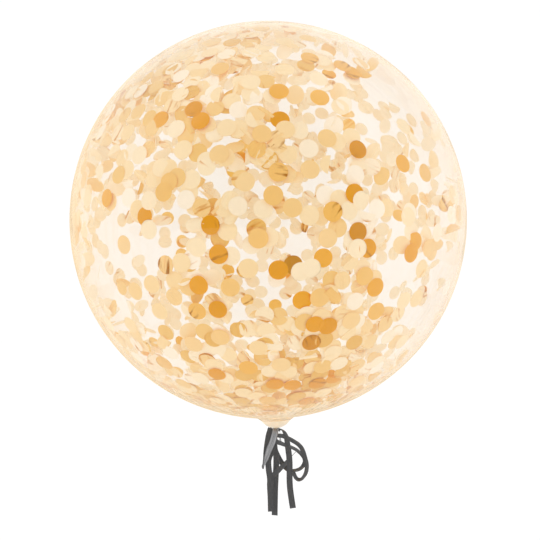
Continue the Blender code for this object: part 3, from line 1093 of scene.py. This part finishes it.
def lifted(tree, given, points, facing, lean):
    """The points moved in off the film by their lift and by the reach of a leaning disc."""
    reach = calc(tree, "MULTIPLY", given["Disc Radius"],
                 calc(tree, "ABSOLUTE", calc(tree, "SINE", lean)))
    away = calc(tree, "MULTIPLY", -1.0, calc(tree, "ADD", reach, named(tree, "lift")))
    return node(tree, "GeometryNodeSetPosition",
                {"Geometry": points, "Offset": scaled(tree, facing, away)})


def turned(tree, draw, facing, lean):
    """The rotation of each disc: face to the film, then the lean, then a spin."""
    heading = draw(6, 0.0, TWO_PI)
    hinge = vector_of(tree, calc(tree, "COSINE", heading), calc(tree, "SINE", heading))
    rotation = node(tree, "FunctionNodeAlignRotationToVector", {"Vector": facing}, axis="Z")
    for axis, angle in ((hinge, lean), ((0, 0, 1), draw(7, 0.0, TWO_PI))):
        turn = node(tree, "FunctionNodeAxisAngleToRotation", {"Axis": axis, "Angle": angle})
        rotation = node(tree, "FunctionNodeRotateRotation", {0: rotation, 1: turn},
                        rotation_space="LOCAL")
    return rotation


print("loose discs lean by", LOOSE_LEAN, "radians")

# %% [markdown]
# ## The whole tree
#
# A power of a random number picks each disc's shape, so that the flat shapes at the head of the
# list come up most. A laid disc's calm raises that power, which makes strong bends rare. The tree
# ends by making the instances real and setting the material, because an instance isn't a mesh
# yet and couldn't be exported.

# %% Build the confetti tree
SIZE_RANGE = (0.97, 1.03)
# Just under one, so that a pick times the number of shapes never reaches that number.
NEARLY_ONE = 0.999


def build_confetti_tree():
    tree, given, end = new_group("lay_confetti", "GeometryNodeTree", CONFETTI_INPUTS,
                                 [("Confetti", "Geometry")])
    draw = drawer(tree, given)
    points = strewn_points(tree, given, draw)
    facing, calm = named(tree, "facing", "FLOAT_VECTOR"), named(tree, "calm")
    lean = leaning(tree, given, draw, calm)
    points = lifted(tree, given, points, facing, lean)
    rotation = turned(tree, draw, facing, lean)
    bias = calc(tree, "ADD", given["Shape Bias"], calm)
    pick = calc(tree, "POWER", draw(8, 0.0, NEARLY_ONE), bias)
    pick = calc(tree, "FLOOR", calc(tree, "MULTIPLY", pick, float(len(DISC_BENDS))))
    shapes = node(tree, "GeometryNodeCollectionInfo",
                  {"Collection": given["Disc Shapes"], "Separate Children": True,
                   "Reset Children": True})
    discs = node(tree, "GeometryNodeInstanceOnPoints",
                 {"Points": points, "Instance": shapes, "Pick Instance": True,
                  "Instance Index": pick, "Rotation": rotation, "Scale": draw(9, *SIZE_RANGE)})
    real = node(tree, "GeometryNodeRealizeInstances", {"Geometry": discs})
    feed(tree, end["Confetti"], node(tree, "GeometryNodeSetMaterial",
                                     {"Geometry": real, "Material": given["Finish"]}))
    return tree


confetti_tree = build_confetti_tree()
print("confetti tree:", len(confetti_tree.nodes), "nodes")

# %% [markdown]
# ## Helpers for finishes
#
# A finish is a material with one Principled shader. Values that are the same all over are plain
# numbers on the shader; what changes over the surface comes through nodes, such as noise, a
# height shown as a bump, or a blend of two colours. Each helper adds one such step. Colours are
# given as a display shows them, from 0 to 255, and are turned into linear light.

# %% Shader helpers


def linear(red, green, blue):
    """A display colour, 0 to 255, as linear light."""
    shares = [value / 255 for value in (red, green, blue)]
    return tuple(s / 12.92 if s <= 0.04045 else ((s + 0.055) / 1.055) ** 2.4 for s in shares)


def new_material(name, **values):
    """A material with one Principled shader whose plain values are set by name."""
    material = bpy.data.materials.new(name)
    material.use_nodes = True
    TREES.append(material.node_tree)
    shader = material.node_tree.nodes["Principled BSDF"].inputs
    for label, value in values.items():
        shader[label.replace("_", " ")].default_value = value
    return material, material.node_tree, shader


def place_group(tree, group, **values):
    """Put a node group in a tree with its own values; hand back its outputs."""
    inputs = {label.replace("_", " "): value for label, value in values.items()}
    return node(tree, "ShaderNodeGroup", inputs, node_tree=group).node.outputs


def mark(tree, attribute):
    """A value that every disc carries, by its name."""
    return node(tree, "ShaderNodeAttribute", output="Fac", attribute_name=attribute,
                attribute_type="GEOMETRY")


def noise(tree, vector, scale, detail=2.0):
    """Soft noise from 0 to 1."""
    return node(tree, "ShaderNodeTexNoise", {"Vector": vector, "Scale": scale, "Detail": detail})


def eased(tree, value, low, high, top=1.0, kind="SMOOTHSTEP"):
    """Nothing up to low, rising to top at high."""
    return node(tree, "ShaderNodeMapRange", {"Value": value, "From Min": low, "From Max": high,
                                             "To Max": top}, interpolation_type=kind)


def blended(tree, share, first, second):
    """A colour between two: either may be a link or a plain colour."""
    return node(tree, "ShaderNodeMix", {"Factor": share, "A": first, "B": second},
                data_type="RGBA")


def bumped(tree, height, strength, distance):
    """A normal that shows a height."""
    return node(tree, "ShaderNodeBump",
                {"Strength": strength, "Distance": distance, "Height": height})


def split(tree, vector):
    """A vector's X, Y and Z."""
    return node(tree, "ShaderNodeSeparateXYZ", {0: vector}).node.outputs


def tone_ramp(tree, stops):
    """The colour of a disc from its tone; a stop is a place and a display colour."""
    ramp = node(tree, "ShaderNodeValToRGB", {"Fac": mark(tree, "tone")})
    elements = ramp.node.color_ramp.elements
    while len(elements) < len(stops):
        elements.new(0.5)
    for element, (place, *colour) in zip(elements, stops):
        element.position = place
        element.color = (*linear(*colour), 1.0)
    return ramp


print("shader helpers ready")

# %% [markdown]
# ## Finishes
#
# Four finishes dress the balloon: clear film, soft peach paper, gold foil and dark satin, and
# film and satin have a second state each. Paper and foil share one effect, a fine crinkle with
# a slight change of colour, so that effect is a node group with its own inputs, and each material
# places it with its own values.

# %% Crinkle group
FIBRE_SHARE = 0.35


def build_crinkle_group():
    """Fine fibre and broad crinkle: a small factor round 1 for the colour, and a normal."""
    group, given, out = new_group(
        "crinkle", "ShaderNodeTree",
        [("Fibre Scale", "Float", 1800.0), ("Crinkle Scale", "Float", 160.0),
         ("Colour Change", "Float", 0.06), ("Strength", "Float", 0.2), ("Height", "Float", 0.0004)],
        [("Factor", "Float"), ("Normal", "Vector")],
    )
    place = node(group, "ShaderNodeTexCoord", output="Object")
    fibre = noise(group, place, given["Fibre Scale"], detail=3.0)
    broad = noise(group, place, given["Crinkle Scale"])
    both = calc(group, "ADD", calc(group, "MULTIPLY", fibre, FIBRE_SHARE), broad)
    change = calc(group, "SUBTRACT", both, (1 + FIBRE_SHARE) / 2)
    change = calc(group, "MULTIPLY", change, given["Colour Change"])
    feed(group, out["Factor"], calc(group, "ADD", change, 1.0))
    feed(group, out["Normal"], bumped(group, both, given["Strength"], given["Height"]))
    return group


crinkle = build_crinkle_group()
print("group:", crinkle.name)

# %% [markdown]
# ## Streaks and the reverse side
#
# Some discs carry a few streaks: painted bands of light and shade, such as a bent shiny disc
# shows. The streaks are bands of noise drawn in the disc's own flat map, shifted by its tone so
# that no two discs are alike, and only a share of the discs has any. The same group also hands out
# the mask of the reverse side, the one turned to the inside of the ball.

# %% Streaks group
BANDS_ACROSS, BANDS_ALONG = 1.6, 0.3
BAND_CORE = 0.68
BAND_SHIFT, LOT_SHIFT = 391.0, 977.0


def build_streaks_group():
    """Painted streaks of light and shade on some discs, as a mask, and the reverse side's mask."""
    group, given, out = new_group(
        "streaks", "ShaderNodeTree", [("Share", "Float", 0.2), ("Edge", "Float", 0.56)],
        [("Streaks", "Float"), ("Reverse", "Float")],
    )
    tone = mark(group, "tone")
    spread = split(group, node(group, "ShaderNodeUVMap", uv_map="spread"))
    place = vector_of(group, calc(group, "MULTIPLY", spread["X"], BANDS_ACROSS),
                      calc(group, "MULTIPLY", spread["Y"], BANDS_ALONG),
                      calc(group, "MULTIPLY", tone, BAND_SHIFT))
    bands = noise(group, place, 1.0, detail=3.0)
    soft = eased(group, bands, given["Edge"], BAND_CORE, kind="LINEAR")
    lot = calc(group, "FRACT", calc(group, "MULTIPLY", tone, LOT_SHIFT))
    has_any = calc(group, "LESS_THAN", lot, given["Share"])
    feed(group, out["Streaks"], calc(group, "MULTIPLY", soft, has_any))
    feed(group, out["Reverse"], mark(group, "reverse"))
    return group


streaks = build_streaks_group()
print("group:", streaks.name)

# %% [markdown]
# ## Peach paper
#
# The paper is thin, matte and pale. Its discs aren't one colour: most are a light peach, a few
# are nearly white, and a fair share are deeper, from two dye lots and, as painted shade, from
# paper lying over paper. A colour ramp turns each disc's tone into one of these. The reverse side
# is painted paler, and both sides are given a painted glow, each in its own colour, by a plain
# strength on the shader: both stand in for light from the white room soaking through such thin
# paper, and the glow lifts the shade between the discs.

# %% Peach paper
PAPER_TONES = [
    (0.0, 252, 249, 240), (0.12, 251, 245, 231), (0.26, 249, 239, 214), (0.50, 248, 232, 195),
    (0.70, 246, 225, 179), (0.85, 243, 214, 155), (0.95, 239, 204, 128), (1.0, 231, 188, 96),
]
# The reverse side is painted paler, for the light that soaks through to the side turned into the
# ball.
PAPER_REVERSE_PAINTED_PALE = linear(249, 242, 230)
# Painted glow: both colours stand in for light soaking through the thin paper and lift the shade
# between discs.
FRONT_PAINTED_GLOW = (0.62, 0.50, 0.40)
REVERSE_PAINTED_GLOW = (0.53, 0.74, 0.58)
PAINTED_GLOW_STRENGTH = 0.080
# Painted streaks on the paper: gold bands that stand for the light and shade in a bent, shiny disc.
PAINTED_STREAK_GOLD = linear(212, 146, 36)


def disc_finish(name, tones, reverse, streaked, crinkled, glow=None, **values):
    """A disc's finish: a colour by its tone, another reverse side, streaks and a crinkle.

    reverse is a colour and how much of it shows, streaked is the colour of painted streaks of
    light and shade and the share of the discs that has any, and glow is the colour of a
    painted glow for the front and one for the reverse.
    """
    material, tree, shader = new_material(name, **values)
    effect = place_group(tree, crinkle, **crinkled)
    marks = place_group(tree, streaks, Share=streaked[1])
    turned_over = calc(tree, "MULTIPLY", marks["Reverse"], reverse[1])
    colour = blended(tree, turned_over, tone_ramp(tree, tones), reverse[0])
    colour = blended(tree, marks["Streaks"], colour, streaked[0])
    feed(tree, shader["Base Color"], scaled(tree, colour, effect["Factor"]))
    feed(tree, shader["Normal"], effect["Normal"])
    # The glow is painted light: emission that stands in for light soaking through the paper.
    if glow:
        feed(tree, shader["Emission Color"], blended(tree, marks["Reverse"], *glow))
    return material


paper = disc_finish(
    "peach_paper", PAPER_TONES, (PAPER_REVERSE_PAINTED_PALE, 0.75), (PAINTED_STREAK_GOLD, 0.13),
    {"Fibre_Scale": 2400.0, "Crinkle_Scale": 210.0, "Colour_Change": 0.08, "Strength": 0.25,
     "Height": 0.0003},
    glow=(FRONT_PAINTED_GLOW, REVERSE_PAINTED_GLOW), Roughness=0.6, IOR=1.35, Emission_Strength=PAINTED_GLOW_STRENGTH,
)
print("finish:", paper.name)

# %% [markdown]
# ## Gold foil
#
# The gold discs are foil on paper under a matt lacquer, so they are half metal and half colour.
# Each disc's tone sets how deep its gold looks: partly the foil's own gold, partly painted shade
# and reflection, since the deepest tones stand for foil that mirrors something darker. Handling
# leaves them dented, which the crinkle's bump shows as soft streaks in the gloss; the darker
# streaks are painted shade in the foil's folds.

# %% Gold foil
# The deep end of the ramp is partly painted shade and reflection: foil that mirrors something
# darker.
FOIL_TONES = [
    (0.0, 250, 223, 172), (0.35, 248, 214, 148), (0.5, 245, 206, 130), (0.6, 244, 193, 88),
    (0.7, 238, 175, 46), (0.8, 231, 166, 26), (0.9, 217, 151, 12), (1.0, 198, 140, 12),
]
FOIL_REVERSE = linear(250, 218, 130)
# Painted streaks on the foil: darker bands that stand for the shade in its folds.
FOIL_PAINTED_STREAK_SHADE = linear(178, 116, 10)
foil = disc_finish(
    "gold_foil", FOIL_TONES, (FOIL_REVERSE, 0.5), (FOIL_PAINTED_STREAK_SHADE, 0.4),
    {"Fibre_Scale": 900.0, "Crinkle_Scale": 120.0, "Colour_Change": 0.10, "Strength": 0.5,
     "Height": 0.0006},
    Metallic=0.5, Roughness=0.3, IOR=1.3,
)
print("finish:", foil.name)

# %% [markdown]
# ## Clear film
#
# The film is a clear plastic with the faintest warm tint. It is see-through by plain
# transmission, and since it is a real wall the light goes straight through. Fine dust held by
# static dulls it towards its edge, which is what the warm sheen is for. Its bump is a very slow
# waviness, as stretched film has, and near the neck a fan of wrinkles joins it.

# %% Clear film
WRINKLED_TOP, WRINKLED_MOST = 0.110, 0.060
WARM_SHEEN = (1.0, 0.74, 0.42, 1.0)
CLEAREST, WARMEST = (0.997, 0.962, 0.915), (0.992, 0.942, 0.880)
TINT_SCALE, WAVE_SCALE, WRINKLE_SCALE = 7.0, 16.0, 1.6
FAN_FOLDS, FAN_RISE = 9.0, 25.0
WRINKLE_GAIN = 6.0
FILM_BUMP = {"strength": 0.15, "distance": 0.002}


def make_film():
    material, tree, shader = new_material(
        "clear_film", Roughness=0.0, IOR=1.45, Transmission_Weight=1.0, Sheen_Weight=1.0,
        Sheen_Roughness=0.30, Sheen_Tint=WARM_SHEEN,
    )
    place = node(tree, "ShaderNodeTexCoord", output="Object")
    feed(tree, shader["Base Color"],
         blended(tree, noise(tree, place, TINT_SCALE), CLEAREST, WARMEST))
    at = split(tree, place)
    near_neck = eased(tree, at["Z"], WRINKLED_TOP, WRINKLED_MOST)
    turn = calc(tree, "ARCTAN2", at["X"], at["Y"])
    fan = vector_of(tree, calc(tree, "MULTIPLY", turn, FAN_FOLDS),
                    calc(tree, "MULTIPLY", at["Z"], FAN_RISE))
    wrinkles = calc(tree, "MULTIPLY", noise(tree, fan, WRINKLE_SCALE, detail=3.0),
                    calc(tree, "MULTIPLY", near_neck, WRINKLE_GAIN))
    height = calc(tree, "ADD", noise(tree, place, WAVE_SCALE, detail=1.0), wrinkles)
    feed(tree, shader["Normal"], bumped(tree, height, **FILM_BUMP))
    return material


film.data.materials.append(make_film())
print("finish:", film.data.materials[0].name)

# %% [markdown]
# ## Gathered film
#
# In the funnel and the neck the film is drawn together into many small folds lying on each
# other. So many layers scatter the light, and the gathered film looks like pale wax: it lets
# little through. Its folds show as a bump and as a soft change of tone that follows their height,
# darker in the hollows: a painted shade of the folds.

# %% Gathered film
WAX_PAINTED_SHADE, WAX_LIGHT = linear(252, 236, 204), linear(254, 246, 226)
FOLD_SCALE = 420.0
FOLD_STRETCH = (1.0, 1.0, 0.25)
FOLD_BUMP = {"strength": 0.3, "distance": 0.0006}


def make_gathered():
    material, tree, shader = new_material("gathered_film", Roughness=0.35, IOR=1.45,
                                          Transmission_Weight=0.25)
    place = node(tree, "ShaderNodeTexCoord", output="Object")
    folds = node(tree, "ShaderNodeMapping", {"Vector": place, "Scale": FOLD_STRETCH})
    height = noise(tree, folds, FOLD_SCALE)
    # The tone follows the folds' height, darker in the hollows: painted shade.
    feed(tree, shader["Base Color"], blended(tree, height, WAX_PAINTED_SHADE, WAX_LIGHT))
    feed(tree, shader["Normal"], bumped(tree, height, **FOLD_BUMP))
    return material


film.data.materials.append(make_gathered())
print("finish:", film.data.materials[1].name)

# %% [markdown]
# ## The weave
#
# Satin has fine ribs along its length, picks across it and a selvedge at each edge. Broad bands
# along the length join them, lighter and darker: a painted sheen. All of it is drawn in the strip's
# own UV map, in metres, so the weave follows every turn of the ribbon. Both sides of the ribbon use
# it, so it is a node group.

# %% Weave group
RIBS_PER_METRE = 7000.0
PICK_LENGTH = 0.00035
PICK_GAIN = 0.12
PAINTED_SHEEN_STRETCH = (0.07, 0.4, 1.0)
PAINTED_SHEEN_GAIN = 1.2
THREAD_HEIGHT = 0.00006


def build_weave_group():
    """Weave and painted sheen in a ribbon's UV map: a level from 0 to 1, a normal and the selvedge.
    """
    group, given, out = new_group(
        "weave", "ShaderNodeTree",
        [("Streak Length", "Float", 260.0), ("Strength", "Float", 0.35)],
        [("Level", "Float"), ("Selvedge", "Float"), ("Normal", "Vector")],
    )
    at = split(group, node(group, "ShaderNodeUVMap", uv_map="strip"))
    stretched = vector_of(group, calc(group, "MULTIPLY", at["X"], RIBS_PER_METRE),
                          calc(group, "MULTIPLY", at["Y"], given["Streak Length"]))
    picks = calc(group, "SINE", calc(group, "MULTIPLY", at["Y"], TWO_PI / PICK_LENGTH))
    threads = noise(group, stretched, 1.0)
    wide = node(group, "ShaderNodeVectorMath", {0: stretched, 1: PAINTED_SHEEN_STRETCH},
                operation="MULTIPLY")
    # Broad bands along the ribbon: a painted sheen in its colour, which the bump also follows.
    broad = calc(group, "SUBTRACT", noise(group, wide, 1.0), 0.5)
    level = calc(group, "ADD", threads, calc(group, "MULTIPLY", picks, PICK_GAIN))
    level = calc(group, "ADD", level, calc(group, "MULTIPLY", broad, PAINTED_SHEEN_GAIN))
    feed(group, out["Level"], level)
    feed(group, out["Selvedge"], calc(group, "GREATER_THAN", calc(group, "ABSOLUTE", at["X"]),
                                      RIBBON_WIDTH / 2 * SELVEDGE_SHARE))
    feed(group, out["Normal"], bumped(group, level, given["Strength"], THREAD_HEIGHT))
    return group


weave = build_weave_group()
print("group:", weave.name)

# %% [markdown]
# ## Dark satin
#
# This is a single-face satin: on one side long threads float over the weave and shine like
# silver, and the other side is a dull dark grey. So a ribbon has two materials, one for each
# side, both a little darker at the selvedge. The left loop is folded, so its dull side shows on
# the way down and its glossy side on the way back up. Ribbons and knot are hidden from the film's
# mirror and from rays that pass through it: so close below the ball, their mirror image would
# lie on the film as a dark patch.

# %% Dark satin
SELVEDGE_SHADE = -0.18


def make_satin(name, dark, light, streak_length, **values):
    """One side of the ribbon: the weave's level picks a grey between dark and light."""
    material, tree, shader = new_material(name, IOR=1.5, **values)
    effect = place_group(tree, weave, Streak_Length=streak_length)
    shade = calc(tree, "MULTIPLY", effect["Selvedge"], SELVEDGE_SHADE)
    shade = calc(tree, "ADD", shade, 1.0)
    feed(tree, shader["Base Color"],
         scaled(tree, blended(tree, effect["Level"], dark, light), shade))
    feed(tree, shader["Normal"], effect["Normal"])
    return material


dull_satin = make_satin("satin_back", linear(40, 40, 41), linear(74, 74, 75),
                        streak_length=260.0, Roughness=0.45, Sheen_Weight=0.1)
# The glossy side's light grey streaks, mirrored as silver by the high metal value, are a painted
# highlight.
glossy_satin = make_satin("satin_face", linear(34, 34, 35), linear(196, 196, 198),
                          streak_length=70.0, Roughness=0.3, Metallic=0.85, Anisotropic=0.6)
for piece in [*ribbons.values(), knot]:
    piece.data.materials.append(dull_satin)
    piece.data.materials.append(glossy_satin)
    piece.visible_glossy = False
    piece.visible_transmission = False
print("ribbon sides:", dull_satin.name, "and", glossy_satin.name)

# %% [markdown]
# ## Lay the confetti
#
# The tree is put on a hidden host as a modifier. Its inputs are set by each socket's identifier,
# which stays the same if a socket is renamed. The evaluated result is then turned into a plain
# mesh with no modifier left on it.

# %% Lay the paper and the foil


def lay_confetti(name, laid, **values):
    """Run the confetti tree on the host and keep the result as a plain mesh piece."""
    host = in_scene("host_" + name, host_mesh)
    modifier = host.modifiers.new("confetti", "NODES")
    modifier.node_group = confetti_tree
    values |= {"Laid By Hand": laid, "Disc Shapes": disc_shapes}
    for item in confetti_tree.interface.items_tree:
        if item.in_out == "INPUT" and item.name in values:
            modifier[item.identifier] = values[item.name]
    bpy.context.view_layer.update()
    evaluated = host.evaluated_get(bpy.context.evaluated_depsgraph_get())
    mesh = bpy.data.meshes.new_from_object(evaluated)
    mesh.name = name
    bpy.data.objects.remove(host)
    return in_scene(name, mesh)


confetti_paper = lay_confetti(
    "confetti_paper",
    laid_paper,
    **{"Discs Per Square Metre": 1520.0, "Seed": 11, "Least Lift": 0.0010, "Most Lift": 0.0045,
       "Small Lean": 0.05, "Loose Share": 0.20, "Shape Bias": 1.8, "Finish": paper},
)
confetti_foil = lay_confetti(
    "confetti_foil",
    laid_gold,
    **{"Discs Per Square Metre": 80.0, "Seed": 42, "Least Lift": 0.0010, "Most Lift": 0.0060,
       "Small Lean": 0.03, "Loose Share": 0.3, "Shape Bias": 1.8, "Least Tone": 0.05,
       "Most Tone": 0.85, "Deepening": 0.0, "Finish": foil},
)
for piece, slot in ((confetti_paper, "peach_paper"), (confetti_foil, "gold_foil")):
    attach(piece, "root")
    print(piece.name, len(piece.data.polygons), "faces,", len(piece.data.vertices), "corners")
for shape in list(disc_shapes.objects):
    bpy.data.objects.remove(shape)
bpy.data.collections.remove(disc_shapes)
bpy.data.objects.remove(laid_gold)
bpy.data.objects.remove(laid_paper)

# %% [markdown]
# ## A white studio
#
# The balloon is shown in a white studio: white walls all round, which the world's plain white
# background stands for, and a pale floor well below it. Part of the floor's paleness is its own
# glow, so that it stays white under the balloon too.

# %% Floor
FLOOR_HEIGHT = -0.32
FLOOR_SIZE = 14.0
FLOOR_GREY = (0.4, 0.4, 0.4, 1)
FLOOR_GLOW = 0.61


def build_floor():
    half = FLOOR_SIZE / 2
    corners = [(-half, -half), (half, -half), (half, half), (-half, half)]
    mesh = bpy.data.meshes.new("floor")
    mesh.from_pydata([(x, y, FLOOR_HEIGHT) for x, y in corners], [], [(0, 1, 2, 3)])
    material, *_ = new_material("floor_white", Roughness=0.9, Base_Color=FLOOR_GREY,
                                Emission_Color=(1, 1, 1, 1), Emission_Strength=FLOOR_GLOW)
    mesh.materials.append(material)
    floor = in_scene("floor", mesh)
    floor.visible_glossy = False
    return floor


floor = build_floor()
print("floor at", FLOOR_HEIGHT)

# %% [markdown]
# ## What the film mirrors
#
# The film would vanish in an even white room, so its mirror sees soft shades: paler and darker
# walls, a cream one behind on the left, and the dark end of the room the balloon is looked at
# from. Only rays that have just left a perfectly smooth surface, which the light path calls
# singular, see them; paper, foil and ribbon are lit by plain white.

# %% World
# Each shade: the direction it lies in, where it starts and is full, as cosines, and its gain.
GLOWS = [
    ((-0.90, 0.43, -0.05), 0.60, 0.98, 0.1),
    ((0.72, 0.55, -0.42), 0.70, 0.98, 0.1),
    ((0.0, -1.0, 0.0), 0.10, 0.90, -0.90),
    ((0.0, -0.25, -1.0), 0.30, 0.95, -0.50),
]
CLOUD_SCALE = 1.3
ROOM_LIGHT = 1.02
CREAM_SIDE = (-0.6, 0.5, -0.6)
CREAM_EDGE, CREAM_CORE = 0.20, 0.75
CREAM = (0.96, 0.84, 0.66)


def shade_toward(tree, toward, aim, edge, core, gain=1.0, kind="SMOOTHERSTEP"):
    """A soft round shade in one direction of the world."""
    facing = node(tree, "ShaderNodeVectorMath", {0: toward, 1: aim}, operation="DOT_PRODUCT")
    return eased(tree, facing, edge, core, gain, kind)


def build_world():
    world = bpy.data.worlds.new("white_studio")
    world.use_nodes = True
    sky = world.node_tree
    TREES.append(sky)
    toward = node(sky, "ShaderNodeTexCoord", output="Generated")
    glow = calc(sky, "MULTIPLY_ADD", noise(sky, toward, CLOUD_SCALE), 1.0, -0.5)
    for aim, *shape in GLOWS:
        shade = shade_toward(sky, toward, Vector(aim).normalized(), *shape)
        glow = calc(sky, "ADD", shade, glow)
    # Mirror rays see the shades, and so do rays the film's inner face sends back.
    path = node(sky, "ShaderNodeLightPath").node.outputs
    mirrored = calc(sky, "SUBTRACT", path["Is Singular Ray"], path["Is Transmission Ray"])
    one_wall = calc(sky, "LESS_THAN", path["Transmission Depth"], 2.5)
    fresh = calc(sky, "LESS_THAN", path["Diffuse Depth"], 0.5)
    inner_face = calc(sky, "MULTIPLY", path["Is Transmission Ray"],
                      calc(sky, "MULTIPLY", one_wall, fresh))
    mirrored = calc(sky, "MAXIMUM", mirrored, inner_face)
    creamy = shade_toward(sky, toward, CREAM_SIDE, CREAM_EDGE, CREAM_CORE, kind="SMOOTHSTEP")
    background = sky.nodes["Background"].inputs
    feed(sky, background["Color"],
         blended(sky, calc(sky, "MULTIPLY", mirrored, creamy), (1.0, 1.0, 1.0), CREAM))
    feed(sky, background["Strength"],
         calc(sky, "ADD", calc(sky, "MULTIPLY", mirrored, glow), ROOM_LIGHT))
    return world


scene = bpy.context.scene
scene.world = build_world()
scene.view_settings.view_transform = "Standard"
for bounces, most in (("max", 48), ("transmission", 48), ("diffuse", 16), ("glossy", 24)):
    setattr(scene.cycles, bounces + "_bounces", most)
scene.cycles.blur_glossy = 0.0
print("floor and world are in,", len(GLOWS), "shades for the film to mirror")

# %% [markdown]
# ## The finish
#
# The nodes of every tree are set out in columns, so that a tree can be read in the editor.

# %% Finish
for tree in TREES:
    arrange(tree)
